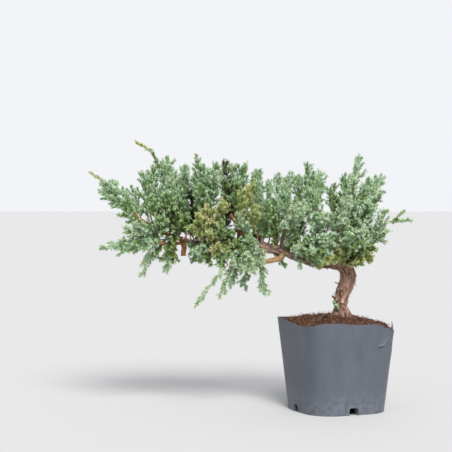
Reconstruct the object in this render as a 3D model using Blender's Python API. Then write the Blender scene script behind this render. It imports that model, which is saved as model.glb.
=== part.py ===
"""A creeping juniper grown as a young bonsai in a square nursery pot.

Metres, +Z up. The origin is the centre of the pot's underside. The limb reaches towards -X.
"""

import math

import bmesh
import bpy
from mathutils import Matrix, Vector
from mathutils.geometry import intersect_line_line

# ---------------------------------------------------------------- driving sizes

FIT_GAP = 0.0003  # left between any two pieces that touch

POT_TOP_SIDE = 0.122  # across the flats at the rim's mean height
POT_TOP_CORNER = 0.020  # corner radius there
POT_BASE_SIDE = 0.1085
POT_BASE_CORNER = 0.035
POT_HEIGHT = 0.1135  # mean height of the hand-cut rim
POT_WALL = 0.0012
POT_TURN = math.radians(22)  # turn of the pot about the tree's own line

# The hand-cut rim: degrees round the pot and the cut's height there above POT_HEIGHT. It waves, and
# it is torn down at one corner.
RIM_CUT = (
    (-39, -0.0025),
    (-34, -0.0060),
    (-23, -0.0115),
    (-10, -0.0105),
    (6, -0.0070),
    (29, -0.0046),
    (50, -0.0040),
    (75, -0.0026),
    (110, -0.0010),
    (140, 0.0010),
    (163, 0.0024),
    (181, 0.0006),
    (202, -0.0019),
    (221, -0.0033),
    (240, -0.0023),
    (256, 0.0015),
    (271, 0.0013),
    (286, -0.0010),
    (304, -0.0011),
    (315, -0.0010),
)

FLOOR_UNDERSIDE = 0.008  # the floor is raised inside the skirt
FLOOR_THICKNESS = 0.0015
FOOT_RADIUS = 0.014  # round foot under the middle of the floor
DRAIN_WIDTH = 0.012  # one drain slot in each side
DRAIN_HEIGHT = 0.012
DRAIN_REACH = 0.009  # how far each slot runs in under the floor
DRAIN_ASIDE = (0.0, 0.0, 0.0, -0.0036)  # how far each slot sits from the middle of its side

SOIL_BELOW_RIM = 0.005
SOIL_BELOW_TEAR = 0.0015  # at the torn corner
SOIL_MOUND = 0.0087  # rise of the soil round the trunk
SOIL_MOUND_RADIUS = 0.034
SOIL_HEAP = 0.0065  # a lower heap near the high side of the rim
SOIL_HEAP_AT = Vector((-0.034, 0.024, 0))
SOIL_HEAP_RADIUS = 0.030

COLLAR_AT = Vector((0.008, 0.012, 0))  # where the trunk leaves the soil
ROOT_DEPTH = 0.022  # trunk below the soil
TRUNK_RISE = 0.066  # soil to the bend where the limb sets off
LIMB_REACH = 0.203  # collar to the limb's end, measured level

ROOT_END_SHARE = 0.85  # the trunk's radius at its buried end, from its radius at the soil

ROOT_LOOP_SPAN = 0.015  # surface root
ROOT_LOOP_RISE = 0.0045
ROOT_LOOP_RADIUS = 0.0009
ROOT_LOOP_AT = Vector((-0.021, -0.018, 0))  # its middle, from the collar
ROOT_LOOP_SWAY = 0.002  # how far it wanders to either side

WOOD_SIDES = 8
TRUNK_SIDES = 14
ROOT_LOOP_SIDES = 6
FOLIAGE_SIDES = 8
POT_ARC_STEPS = 7  # steps round each corner
POT_FLAT_STEPS = 4  # steps along each flat

# The trunk below the bend: sideways, depthwise, share of TRUNK_RISE, radius.
TRUNK_COURSE = (
    (0.000, 0.000, -0.05, 0.0105),
    (-0.001, 0.000, 0.15, 0.0080),
    (0.000, -0.002, 0.35, 0.0084),
    (0.004, -0.004, 0.55, 0.0090),
    (0.008, -0.006, 0.71, 0.0093),
    (0.007, -0.007, 0.88, 0.0090),
    (0.000, -0.007, 1.00, 0.0082),
)
# The limb: share of LIMB_REACH, depthwise, height above the bend, radius.
LIMB_COURSE = (
    (0.07, -0.008, 0.003, 0.0073),
    (0.14, -0.010, 0.003, 0.0067),
    (0.21, -0.012, 0.006, 0.0062),
    (0.28, -0.014, 0.011, 0.0061),
    (0.35, -0.016, 0.017, 0.0060),
    (0.42, -0.017, 0.020, 0.0058),
    (0.50, -0.017, 0.022, 0.0056),
    (0.59, -0.015, 0.024, 0.0052),
    (0.69, -0.012, 0.027, 0.0047),
    (0.79, -0.009, 0.029, 0.0044),
    (0.88, -0.007, 0.027, 0.0041),
    (0.955, -0.007, 0.028, 0.0039),
    (1.00, -0.007, 0.032, 0.0038),
)

# Side branches: what each grows on, how far along it, its reach, how its middle bows from the
# straight line, and its radius where it sets off and at its end.
BRANCHES = {
    "branch_leader": ("trunk", 0.30, (0.014, 0.021, 0.067), (-0.003, -0.001, -0.009), 0.0054, 0.0026),
    "branch_right": ("trunk", 0.28, (0.050, -0.003, 0.059), (0.002, -0.001, -0.004), 0.0038, 0.0017),
    "branch_crown_front": ("trunk", 0.32, (-0.006, -0.055, 0.043), (-0.002, -0.004, -0.002), 0.0037, 0.0020),
    "branch_crown_back": ("trunk", 0.33, (0.002, 0.058, 0.063), (0.001, 0.002, -0.005), 0.0037, 0.0019),
    "branch_limb_1": ("trunk", 0.44, (0.000, -0.020, 0.055), (0.002, 0.000, -0.001), 0.0035, 0.0018),
    "branch_limb_2": ("trunk", 0.51, (0.010, 0.043, 0.065), (-0.003, 0.000, -0.008), 0.0036, 0.0017),
    "branch_limb_3": ("trunk", 0.58, (0.007, -0.034, 0.040), (-0.001, 0.000, -0.001), 0.0030, 0.0016),
    "branch_middle": ("trunk", 0.71, (-0.025, -0.028, 0.041), (-0.001, -0.004, 0.000), 0.0033, 0.0021),
    "branch_middle_back": ("trunk", 0.76, (-0.008, 0.042, 0.057), (0.004, 0.004, -0.003), 0.0034, 0.0017),
    "branch_hanging_front": ("trunk", 0.75, (-0.014, -0.041, -0.027), (0.000, -0.009, 0.003), 0.0027, 0.0016),
    "branch_inner": ("trunk", 0.87, (-0.008, -0.008, 0.054), (-0.004, 0.003, -0.002), 0.0033, 0.0016),
    "branch_far_left": ("trunk", 1.00, (-0.055, -0.012, 0.027), (0.000, 0.003, -0.003), 0.0038, 0.0022),
    "branch_lower_left": ("trunk", 0.97, (-0.047, -0.036, 0.001), (-0.002, -0.006, -0.001), 0.0028, 0.0016),
    "cut_stub": ("trunk", 0.985, (-0.003, -0.006, -0.019), (-0.001, -0.002, 0.000), 0.0036, 0.0034),
    "deadwood": ("trunk", 0.54, (-0.036, -0.010, -0.010), (0.000, -0.002, -0.003), 0.0038, 0.0018),
}

# Foliage sprays: what each grows on, how far along it, its reach from there, and its radius.
SPRAYS = {
    "foliage_far_left_1": ("branch_far_left", 1.00, (-0.059, -0.005, 0.057), 0.0180),
    "foliage_left_1": ("branch_far_left", 0.55, (-0.025, 0.028, 0.109), 0.0175),
    "foliage_left_2": ("branch_far_left", 0.42, (0.004, 0.052, 0.103), 0.0170),
    "foliage_left_3": ("branch_far_left", 0.11, (0.013, 0.012, 0.094), 0.0160),
    "foliage_left_4": ("branch_far_left", 0.73, (-0.012, -0.001, 0.071), 0.0160),
    "foliage_left_5": ("branch_far_left", 0.22, (-0.006, -0.040, 0.060), 0.0160),
    "foliage_lower_left_1": ("branch_lower_left", 1.00, (-0.053, -0.012, -0.006), 0.0155),
    "foliage_lower_left_2": ("branch_lower_left", 0.93, (-0.017, 0.015, -0.043), 0.0145),
    "foliage_lower_left_3": ("branch_lower_left", 0.56, (-0.002, -0.018, -0.038), 0.0130),
    "foliage_back_1": ("trunk", 0.97, (-0.013, 0.074, 0.082), 0.0160),
    "foliage_back_2": ("trunk", 0.93, (-0.010, 0.038, 0.090), 0.0145),
    "foliage_inner_1": ("branch_inner", 1.00, (-0.013, -0.010, 0.056), 0.0170),
    "foliage_inner_2": ("branch_inner", 0.80, (0.015, 0.008, 0.060), 0.0160),
    "foliage_inner_3": ("branch_inner", 0.12, (-0.017, -0.059, 0.031), 0.0160),
    "foliage_middle_1": ("branch_middle_back", 1.00, (-0.011, 0.019, 0.055), 0.0160),
    "foliage_middle_2": ("branch_middle_back", 0.84, (0.013, -0.015, 0.059), 0.0155),
    "foliage_middle_3": ("branch_middle", 0.91, (0.020, -0.013, 0.040), 0.0155),
    "foliage_middle_4": ("trunk", 0.68, (0.005, 0.024, 0.103), 0.0155),
    "foliage_limb_1": ("trunk", 0.635, (0.018, 0.068, 0.099), 0.0170),
    "foliage_limb_2": ("trunk", 0.60, (-0.012, -0.026, 0.063), 0.0150),
    "foliage_limb_3": ("branch_limb_3", 1.00, (-0.002, 0.007, 0.049), 0.0160),
    "foliage_limb_4": ("branch_limb_3", 0.74, (0.018, -0.039, 0.029), 0.0150),
    "foliage_limb_5": ("branch_limb_2", 1.00, (0.007, -0.012, 0.057), 0.0155),
    "foliage_limb_6": ("branch_limb_2", 0.80, (0.031, 0.043, 0.061), 0.0160),
    "foliage_limb_7": ("branch_limb_1", 1.00, (0.000, 0.005, 0.034), 0.0175),
    "foliage_limb_8": ("branch_limb_1", 0.61, (0.014, -0.041, 0.029), 0.0160),
    "foliage_hanging_1": ("branch_hanging_front", 0.94, (-0.045, -0.018, -0.052), 0.0115),
    "foliage_hanging_2": ("branch_hanging_front", 0.50, (0.020, -0.045, -0.022), 0.0150),
    "foliage_hanging_3": ("trunk", 0.72, (-0.003, 0.034, -0.060), 0.0175),
    "foliage_hanging_4": ("trunk", 0.68, (0.011, -0.010, -0.063), 0.0150),
    "foliage_hanging_5": ("trunk", 0.83, (-0.040, -0.031, -0.024), 0.0150),
    "foliage_crown_1": ("branch_crown_back", 1.00, (-0.001, 0.012, 0.041), 0.0185),
    "foliage_crown_2": ("branch_leader", 0.65, (-0.006, -0.008, 0.078), 0.0160),
    "foliage_crown_3": ("branch_leader", 1.00, (0.010, 0.017, 0.078), 0.0170),
    "foliage_crown_4": ("branch_leader", 0.96, (0.045, 0.047, 0.056), 0.0175),
    "foliage_crown_5": ("branch_right", 0.58, (0.017, -0.024, 0.046), 0.0175),
    "foliage_crown_6": ("branch_right", 1.00, (0.035, 0.003, 0.004), 0.0110),
    "foliage_crown_7": ("branch_right", 0.29, (0.031, -0.010, -0.004), 0.0115),
    "foliage_crown_8": ("branch_crown_front", 1.00, (0.014, -0.012, 0.042), 0.0175),
    "foliage_crown_9": ("branch_crown_front", 0.79, (0.030, -0.034, 0.020), 0.0160),
    "foliage_crown_10": ("branch_crown_front", 0.53, (-0.019, -0.014, -0.018), 0.0120),
}
# A spray's outline: share of its length, share of its radius.
WIDEST_SHARE = 0.42
SPRAY_OUTLINE = ((0.0, 0.35), (0.18, 0.84), (WIDEST_SHARE, 1.0), (0.74, 0.66), (1.0, 0.10))

# ---------------------------------------------------------------- helpers


def clear_scene():
    for obj in list(bpy.data.objects):
        bpy.data.objects.remove(obj, do_unlink=True)


def material(name, colour, roughness):
    mat = bpy.data.materials.new(name)
    mat.use_nodes = True
    shader = mat.node_tree.nodes["Principled BSDF"]
    shader.inputs["Base Color"].default_value = (*colour, 1.0)
    shader.inputs["Roughness"].default_value = roughness
    shader.inputs["Metallic"].default_value = 0.0
    return mat


def finish(name, bm, mat, smooth_angle=40):
    """Turns the bmesh into an object of this name, with its faces pointing out."""
    bmesh.ops.recalc_face_normals(bm, faces=bm.faces)
    if bm.calc_volume(signed=True) < 0:  # it can turn a very flat body inside out
        bmesh.ops.reverse_faces(bm, faces=bm.faces)
    mesh = bpy.data.meshes.new(name)
    bm.to_mesh(mesh)
    bm.free()
    mesh.shade_smooth()
    mesh.set_sharp_from_angle(angle=math.radians(smooth_angle))
    obj = bpy.data.objects.new(name, mesh)
    bpy.context.collection.objects.link(obj)
    if mat:
        obj.data.materials.append(mat)
    return obj


def skin(rings):
    """A closed body through rings of equal count, capped at both ends."""
    bm = bmesh.new()
    loops = [[bm.verts.new(point) for point in ring] for ring in rings]
    count = len(loops[0])
    for lower, upper in zip(loops, loops[1:]):
        for i in range(count):
            j = (i + 1) % count
            bm.faces.new((lower[i], lower[j], upper[j], upper[i]))
    bm.faces.new(loops[0])
    bm.faces.new(loops[-1])
    return bm


def cutter(name, bm):
    obj = finish(name, bm, None)
    obj.hide_render = True
    obj.display_type = "WIRE"
    return obj


def cut(obj, tool, solver="EXACT"):
    boolean = obj.modifiers.new("cut_" + tool.name, "BOOLEAN")
    boolean.operation = "DIFFERENCE"
    boolean.solver = solver
    boolean.object = tool


# ---------------------------------------------------------------- pot


def rounded_square(side, corner, z=0.0):
    """Points round a rounded square turned by POT_TURN, the same count for every size."""
    inset = side / 2 - corner
    points = []
    for quarter in range(4):
        turn = Matrix.Rotation(POT_TURN + quarter * math.pi / 2, 3, "Z")
        for step in range(POT_ARC_STEPS + 1):
            angle = step / POT_ARC_STEPS * math.pi / 2
            arc = Vector((inset + corner * math.cos(angle), inset + corner * math.sin(angle), z))
            points.append(turn @ arc)
        for step in range(1, POT_FLAT_STEPS):
            along = inset - 2 * inset * step / POT_FLAT_STEPS
            points.append(turn @ Vector((along, side / 2, z)))
    return points


def pot_ring(height, inset=0.0, z=None):
    """The pot's outline at a height, moved in by inset from its outer face."""
    share = height / POT_HEIGHT
    side = POT_BASE_SIDE + (POT_TOP_SIDE - POT_BASE_SIDE) * share
    corner = POT_BASE_CORNER + (POT_TOP_CORNER - POT_BASE_CORNER) * share
    return rounded_square(side - 2 * inset, corner - inset, height if z is None else z)


def rim_height(angle):
    """Height of the cut rim in the direction of this angle, eased between the rows of RIM_CUT."""
    degrees = (math.degrees(angle) - RIM_CUT[0][0]) % 360 + RIM_CUT[0][0]
    rows = [*RIM_CUT, (RIM_CUT[0][0] + 360, RIM_CUT[0][1])]
    for (start, low), (end, high) in zip(rows, rows[1:]):
        if degrees <= end:
            t = (degrees - start) / (end - start)
            return POT_HEIGHT + low + (high - low) * t * t * (3 - 2 * t)
    return POT_HEIGHT


def at_rim(ring):
    """The ring's points raised to the rim."""
    return [Vector((p.x, p.y, rim_height(math.atan2(p.y, p.x)))) for p in ring]


WALL_LEVELS = (0.3, 0.6, 0.85)  # shares of the pot's height where its wall has a ring


def make_pot(mat):
    floor_top = FLOOR_UNDERSIDE + FLOOR_THICKNESS
    inner = [pot_ring(floor_top, POT_WALL)]
    inner += [pot_ring(POT_HEIGHT * share, POT_WALL) for share in WALL_LEVELS]
    inner.append(at_rim(pot_ring(POT_HEIGHT, POT_WALL)))
    outer = [at_rim(pot_ring(POT_HEIGHT))]
    outer += [pot_ring(POT_HEIGHT * share) for share in reversed(WALL_LEVELS)]
    outer.append(pot_ring(0.0))
    skirt = [pot_ring(0.0, POT_WALL), pot_ring(FLOOR_UNDERSIDE, POT_WALL)]
    foot_outline = [point.xy.normalized() * FOOT_RADIUS for point in skirt[1]]
    foot = [[Vector((*point, z)) for point in foot_outline] for z in (FLOOR_UNDERSIDE, 0.0)]
    pot = finish("pot", skin(inner + outer + skirt + foot), mat)
    for side in range(4):
        cut(pot, drain_slot(side))
    return pot


def drain_slot(side):
    """A box through the skirt and the edge of the floor, near the middle of one side."""
    bm = bmesh.new()
    bmesh.ops.create_cube(bm, size=1.0)
    outside = POT_WALL
    length = DRAIN_REACH + outside
    bmesh.ops.scale(bm, verts=bm.verts, vec=(length, DRAIN_WIDTH, 2 * DRAIN_HEIGHT))
    widening = (POT_TOP_SIDE - POT_BASE_SIDE) * DRAIN_HEIGHT / POT_HEIGHT
    middle = (POT_BASE_SIDE + widening) / 2 + outside - length / 2
    bmesh.ops.translate(bm, verts=bm.verts, vec=(middle, DRAIN_ASIDE[side], 0))
    turn = Matrix.Rotation(POT_TURN + side * math.pi / 2, 3, "Z")
    bmesh.ops.rotate(bm, verts=bm.verts, cent=(0, 0, 0), matrix=turn)
    return cutter(f"drain_slot_{side + 1}", bm)


# ---------------------------------------------------------------- soil


def bump(point, centre, rise, radius):
    return rise * math.exp(-((point.xy - centre.xy).length / radius) ** 2)


def soil_height(x, y):
    """Height of the soil's surface above the ground."""
    point = Vector((x, y, 0))
    return (
        POT_HEIGHT
        - SOIL_BELOW_RIM
        + bump(point, COLLAR_AT, SOIL_MOUND, SOIL_MOUND_RADIUS)
        + bump(point, SOIL_HEAP_AT, SOIL_HEAP, SOIL_HEAP_RADIUS)
    )


def on_soil(point):
    return Vector((point.x, point.y, soil_height(point.x, point.y)))


SOIL_SURFACE_SHARES = (0.86, 0.7, 0.54, 0.4, 0.28, 0.18, 0.06)  # rings from the wall to the trunk


def soil_edge(inset):
    """Where the soil meets the wall, below the rim everywhere, at the torn corner too."""
    edge = []
    lower = pot_ring(POT_HEIGHT * WALL_LEVELS[-1], inset)
    for low, high in zip(lower, at_rim(pot_ring(POT_HEIGHT, inset))):
        level = min(soil_height(low.x, low.y), high.z - SOIL_BELOW_TEAR)
        edge.append(low.lerp(high, (level - low.z) / (high.z - low.z)))
    return edge


def make_soil(mat, trunk_cutter):
    inset = POT_WALL + FIT_GAP
    floor = FLOOR_UNDERSIDE + FLOOR_THICKNESS + FIT_GAP
    rings = [pot_ring(floor, inset)]
    rings += [pot_ring(POT_HEIGHT * share, inset) for share in WALL_LEVELS]
    edge = soil_edge(inset)
    rings.append(edge)
    for share in SOIL_SURFACE_SHARES:
        rings.append([on_soil(COLLAR_AT + (point - COLLAR_AT) * share) for point in edge])
    soil = finish("soil", skin(rings), mat)
    cut(soil, trunk_cutter)
    return soil


# ---------------------------------------------------------------- wood


def catmull_rom(points, steps):
    """A smooth run through rows of numbers, steps to each interval."""
    rows = [2 * points[0] - points[1], *points, 2 * points[-1] - points[-2]]
    smooth = []
    for a, b, c, d in zip(rows, rows[1:], rows[2:], rows[3:]):
        for step in range(steps):
            t = step / steps
            smooth.append(
                (
                    2 * b
                    + (c - a) * t
                    + (2 * a - 5 * b + 4 * c - d) * t * t
                    + (3 * b - a - 3 * c + d) * t**3
                )
                / 2
            )
    return [*smooth, points[-1]]


class Wood:
    """A tapering piece of wood along a path of points with a radius at each."""

    def __init__(self, path, radii):
        self.path = path
        self.radii = radii
        self.lengths = [0.0]
        for a, b in zip(path, path[1:]):
            self.lengths.append(self.lengths[-1] + (b - a).length)

    def at(self, share):
        """The point, direction and radius this share of the way along."""
        wanted = share * self.lengths[-1]
        index = 0
        while index < len(self.path) - 2 and self.lengths[index + 1] < wanted:
            index += 1
        run = self.lengths[index + 1] - self.lengths[index]
        t = (wanted - self.lengths[index]) / run
        a, b = self.path[index], self.path[index + 1]
        radius = self.radii[index] + (self.radii[index + 1] - self.radii[index]) * t
        return a.lerp(b, t), (b - a).normalized(), radius

    def spans(self):
        """Each straight span with the larger of its end radii."""
        pairs = zip(self.path, self.path[1:], self.radii, self.radii[1:])
        return [(a, b, max(ra, rb)) for a, b, ra, rb in pairs]

    def rings(self, sides, grow=0.0):
        """Rings round the path; grow makes the body larger all over."""
        rings = []
        across = None
        last = len(self.path) - 1
        for i, (centre, radius) in enumerate(zip(self.path, self.radii)):
            ahead = self.path[min(i + 1, last)] - self.path[max(i - 1, 0)]
            ahead.normalize()
            if across is None:
                across = ahead.orthogonal()
            across = (across - ahead * across.dot(ahead)).normalized()
            up = ahead.cross(across)
            middle = centre + ahead * grow * ((i == last) - (i == 0))
            ring = []
            for side in range(sides):
                angle = 2 * math.pi * side / sides
                ring.append(middle + (across * math.cos(angle) + up * math.sin(angle)) * (radius + grow))
            rings.append(ring)
        return rings


def trunk_wood():
    """The trunk and limb as one run: from the root, up to the bend and out along the limb."""
    collar = on_soil(COLLAR_AT)
    rows = [(Vector((0, 0, -ROOT_DEPTH)), TRUNK_COURSE[0][3] * ROOT_END_SHARE)]
    for x, y, share, radius in TRUNK_COURSE:
        rows.append((Vector((x, y, share * TRUNK_RISE)), radius))
    for share, y, height, radius in LIMB_COURSE:
        rows.append((Vector((-share * LIMB_REACH, y, TRUNK_RISE + height)), radius))
    points = catmull_rom([collar + place for place, _ in rows], 2)
    radii = catmull_rom([radius for _, radius in rows], 2)
    return Wood(points, radii)


BRANCH_SPANS = 7


def branch_wood(parent, share, reach, bow, base_radius, tip_radius):
    """A branch on a bowed path whose middle passes bow away from the straight line."""
    start = parent.at(share)[0]
    end = start + Vector(reach)
    control = start.lerp(end, 0.5) + 2 * Vector(bow)
    path, radii = [], []
    for step in range(BRANCH_SPANS + 1):
        t = step / BRANCH_SPANS
        path.append(start * (1 - t) ** 2 + control * 2 * t * (1 - t) + end * t * t)
        radii.append(base_radius + (tip_radius - base_radius) * t)
    return Wood(path, radii)


def spans_meet(one, other, clearance):
    """True if two pieces of wood come within clearance of each other."""
    for a, b, ra in one.spans():
        for c, d, rc in other.spans():
            p, q = nearest_points(a, b, c, d)
            if (p - q).length < ra + rc + clearance:
                return True
    return False


def make_wood(trunk_mat, branch_mat, deadwood_mat):
    """The trunk and every side branch, each cut back from the wood before it."""
    woods = {"trunk": trunk_wood()}
    tools = {}
    finish("trunk", skin(woods["trunk"].rings(TRUNK_SIDES)), trunk_mat)
    tools["trunk"] = cutter("room_for_trunk", skin(woods["trunk"].rings(TRUNK_SIDES, FIT_GAP)))
    for name, (parent, *shape) in BRANCHES.items():
        wood = branch_wood(woods[parent], *shape)
        mat = deadwood_mat if name == "deadwood" else branch_mat
        branch = finish(name, skin(wood.rings(WOOD_SIDES)), mat)
        for other, other_wood in woods.items():
            if spans_meet(wood, other_wood, 2 * FIT_GAP):
                cut(branch, tools[other], "MANIFOLD")  # EXACT fails on two cuts that cross
        tools[name] = cutter(f"room_for_{name}", skin(wood.rings(WOOD_SIDES, FIT_GAP)))
        woods[name] = wood
    return woods, tools


# ---------------------------------------------------------------- surface root


ROOT_LOOP_SPANS = 10


def make_surface_root(mat):
    """A thin root that arches out of the soil and back, its ends resting on the surface."""
    middle = COLLAR_AT + ROOT_LOOP_AT
    path = []
    for step in range(ROOT_LOOP_SPANS + 1):
        t = step / ROOT_LOOP_SPANS
        x = middle.x + ROOT_LOOP_SPAN * (t - 0.5)
        y = middle.y + ROOT_LOOP_SWAY * math.sin(2 * math.pi * t)
        rise = ROOT_LOOP_RADIUS + FIT_GAP + ROOT_LOOP_RISE * math.sin(math.pi * t)
        path.append(Vector((x, y, soil_height(x, y) + rise)))
    wood = Wood(path, [ROOT_LOOP_RADIUS] * len(path))
    return finish("surface_root", skin(wood.rings(ROOT_LOOP_SIDES)), mat)


# ---------------------------------------------------------------- foliage


def nearest_points(a, b, c, d):
    """The nearest points of the spans a-b and c-d."""
    best = None
    crossing = intersect_line_line(a, b, c, d)
    if crossing:
        p = clamp_to_span(crossing[0], a, b)
        q = clamp_to_span(p, c, d)
        p = clamp_to_span(q, a, b)
        best = (p, clamp_to_span(p, c, d))
    for end in (a, b):
        q = clamp_to_span(end, c, d)
        if best is None or (end - q).length < (best[0] - best[1]).length:
            best = (end, q)
    for end in (c, d):
        p = clamp_to_span(end, a, b)
        if (end - p).length < (best[0] - best[1]).length:
            best = (p, end)
    return best


def clamp_to_span(point, a, b):
    along = b - a
    t = (point - a).dot(along) / along.length_squared
    return a + along * min(max(t, 0.0), 1.0)


class Spray:
    """A spindle of foliage from where it leaves the wood to its tip."""

    def __init__(self, wood, share, reach, radius):
        point, direction, wood_radius = wood.at(share)
        leaves = Vector(reach)
        if share < 1.0:
            away = leaves - direction * leaves.dot(direction)
            self.base = point + away.normalized() * (wood_radius + FIT_GAP)
        else:
            self.base = point + direction * FIT_GAP
        self.tip = point + leaves
        self.radius = radius
        self.middle = self.base.lerp(self.tip, WIDEST_SHARE)

    def body(self):
        along = self.tip - self.base
        across = along.orthogonal().normalized()
        up = along.normalized().cross(across)
        rings = []
        for share, width in SPRAY_OUTLINE:
            ring = []
            for side in range(FOLIAGE_SIDES):
                angle = 2 * math.pi * side / FOLIAGE_SIDES
                offset = (across * math.cos(angle) + up * math.sin(angle)) * self.radius * width
                ring.append(self.base + along * share + offset)
            rings.append(ring)
        return skin(rings)


SPRAY_SMALLEST_EDGE = 0.0002  # corners nearer than this are one


def trim(bm, point, outward):
    """Cuts a convex body by a plane and keeps the side that outward points away from."""
    parts = [*bm.verts, *bm.edges, *bm.faces]
    bmesh.ops.bisect_plane(bm, geom=parts, plane_co=point, plane_no=outward, clear_outer=True)
    close_hull(bm)


def close_hull(bm):
    """Rebuilds a convex body from its corners alone."""
    bmesh.ops.delete(bm, geom=[*bm.edges, *bm.faces], context="EDGES_FACES")
    bmesh.ops.remove_doubles(bm, verts=bm.verts, dist=SPRAY_SMALLEST_EDGE)
    hull = bmesh.ops.convex_hull(bm, input=bm.verts)
    unused = {item for item in hull["geom_interior"] if isinstance(item, bmesh.types.BMVert)}
    unused.update(vert for vert in bm.verts if not vert.link_faces)
    bmesh.ops.delete(bm, geom=list(unused), context="VERTS")


CLOSE_AXES = 0.004  # nearer than this, two sprays are divided between their middles


def dividing_plane(spray, other):
    """A plane between two sprays, nearer to the slimmer one: a point on it and its normal."""
    p, q = nearest_points(spray.base, spray.tip, other.base, other.tip)
    if (q - p).length < CLOSE_AXES:
        p, q = spray.middle, other.middle
    share = spray.radius / (spray.radius + other.radius)
    return p.lerp(q, share), (q - p).normalized()


def trim_from_sprays(bm, spray, others):
    for other in others:
        reach = (spray.tip - spray.base).length / 2 + spray.radius
        other_reach = (other.tip - other.base).length / 2 + other.radius
        centres = (spray.base + spray.tip - other.base - other.tip).length / 2
        if other is spray or centres > reach + other_reach:
            continue
        point, normal = dividing_plane(spray, other)
        trim(bm, point - normal * FIT_GAP / 2, normal)


def trim_from_wood(bm, spray, woods):
    for wood in woods:
        for a, b, wood_radius in wood.spans():
            p, q = nearest_points(spray.base, spray.tip, a, b)
            away = p - q
            if away.length > spray.radius + wood_radius:
                continue
            normal = away.normalized()
            lean = normal.dot((b - a).normalized())
            thickness = wood_radius * math.sqrt(max(0.0, 1 - lean * lean))
            trim(bm, q + normal * (thickness + FIT_GAP), -normal)


def make_foliage(mat, woods):
    sprays = {
        name: Spray(woods[parent], share, reach, radius)
        for name, (parent, share, reach, radius) in SPRAYS.items()
    }
    for name, spray in sprays.items():
        bm = spray.body()
        trim_from_sprays(bm, spray, sprays.values())
        trim_from_wood(bm, spray, woods.values())
        finish(name, bm, mat)


# ---------------------------------------------------------------- assembly


def main():
    clear_scene()
    plastic = material("pot_plastic", (0.150, 0.165, 0.190), 0.55)
    compost = material("compost", (0.110, 0.055, 0.032), 0.95)
    bark = material("bark", (0.190, 0.095, 0.062), 0.9)
    young_bark = material("young_bark", (0.330, 0.130, 0.060), 0.8)
    bare_wood = material("bare_wood", (0.480, 0.330, 0.200), 0.8)
    leaf = material("leaf", (0.150, 0.270, 0.180), 0.6)
    make_pot(plastic)
    woods, tools = make_wood(bark, young_bark, bare_wood)
    make_soil(compost, tools["trunk"])
    make_surface_root(bark)
    make_foliage(leaf, woods)


main()
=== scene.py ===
# %% [markdown]
# # A young creeping juniper in a square nursery pot
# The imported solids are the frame: they say where the pot, the soil, the wood and every spray of
# foliage are. This first cell loads them. Everything below is in metres, in that same frame, so a
# detailed piece is built where its solid already stands and nothing has to be fitted by hand.

# %% Load the frame
import math
import random

import bmesh
import bpy
from mathutils import Matrix, Vector, noise


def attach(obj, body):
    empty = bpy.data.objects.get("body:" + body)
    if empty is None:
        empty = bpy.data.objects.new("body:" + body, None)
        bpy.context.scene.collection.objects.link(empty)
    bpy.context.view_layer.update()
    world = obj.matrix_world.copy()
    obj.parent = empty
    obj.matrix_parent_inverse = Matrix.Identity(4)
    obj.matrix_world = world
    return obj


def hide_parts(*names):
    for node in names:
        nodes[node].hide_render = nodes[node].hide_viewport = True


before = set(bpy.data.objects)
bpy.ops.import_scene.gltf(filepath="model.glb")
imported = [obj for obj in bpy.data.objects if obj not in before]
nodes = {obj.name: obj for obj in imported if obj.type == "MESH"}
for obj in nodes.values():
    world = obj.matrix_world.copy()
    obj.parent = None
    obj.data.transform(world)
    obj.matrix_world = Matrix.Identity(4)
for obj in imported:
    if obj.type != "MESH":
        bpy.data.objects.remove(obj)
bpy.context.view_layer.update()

sprays = sorted(name for name in nodes if name.startswith("foliage_"))
branches = sorted(name for name in nodes if name.startswith("branch_"))
print("frame:", len(nodes), "nodes,", len(sprays), "sprays,", len(branches), "branches")

# %% [markdown]
# ## Small tools
# Each finish is a Principled shader with a few nodes in front of it. These helpers add a node, feed
# its inputs by name and make a colour ramp, so that each material below reads as a short recipe.

# %% Small tools
scene = bpy.context.scene


def put(name, data):
    """A new object with this data, linked into the scene."""
    made = bpy.data.objects.new(name, data)
    scene.collection.objects.link(made)
    return made


def srgb(red, green, blue):
    """A colour given as a screen shows it, from 0 to 255, as the shader wants it."""
    return tuple(
        c / 12.92 if c <= 0.04045 else ((c + 0.055) / 1.055) ** 2.4
        for c in (red / 255, green / 255, blue / 255)
    )


def feed(tree, socket, value):
    """Links an output to the socket, or sets the socket to a plain value."""
    if isinstance(value, bpy.types.NodeSocket):
        tree.links.new(value, socket)
    else:
        socket.default_value = value


def add_node(tree, kind, settings=None, **inputs):
    """A new node: settings go on the node; inputs go by name, or by number as _0, _1 and so on."""
    made = tree.nodes.new(kind)
    for key, value in (settings or {}).items():
        setattr(made, key, value)
    for key, value in inputs.items():
        feed(tree, made.inputs[int(key[1:]) if key[0] == "_" else key], value)
    return made


def calculate(tree, operation, *values):
    """The result of a Math node on these values or links."""
    numbered = {f"_{i}": value for i, value in enumerate(values)}
    return add_node(tree, "ShaderNodeMath", {"operation": operation}, **numbered).outputs[0]


def ramp(tree, amount, stops):
    """A colour ramp read at amount, its stops given as place and colour."""
    made = add_node(tree, "ShaderNodeValToRGB", Fac=amount)
    points = made.color_ramp.elements
    while len(points) < len(stops):
        points.new(0.5)
    for point, (place, colour) in zip(points, stops):
        point.position = place
        point.color = (*colour, 1)
    return made.outputs["Color"]


def mix(tree, amount, one, other, how="MIX"):
    """One colour blended towards another by amount."""
    made = add_node(tree, "ShaderNodeMix", {"data_type": "RGBA", "blend_type": how})
    for index, value in ((0, amount), (6, one), (7, other)):
        feed(tree, made.inputs[index], (*value, 1) if isinstance(value, tuple) else value)
    return made.outputs[2]


def start_material(name):
    """A new material, its node tree and its Principled shader."""
    made = bpy.data.materials.new(name)
    made.use_nodes = True
    return made, made.node_tree, made.node_tree.nodes["Principled BSDF"]


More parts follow.
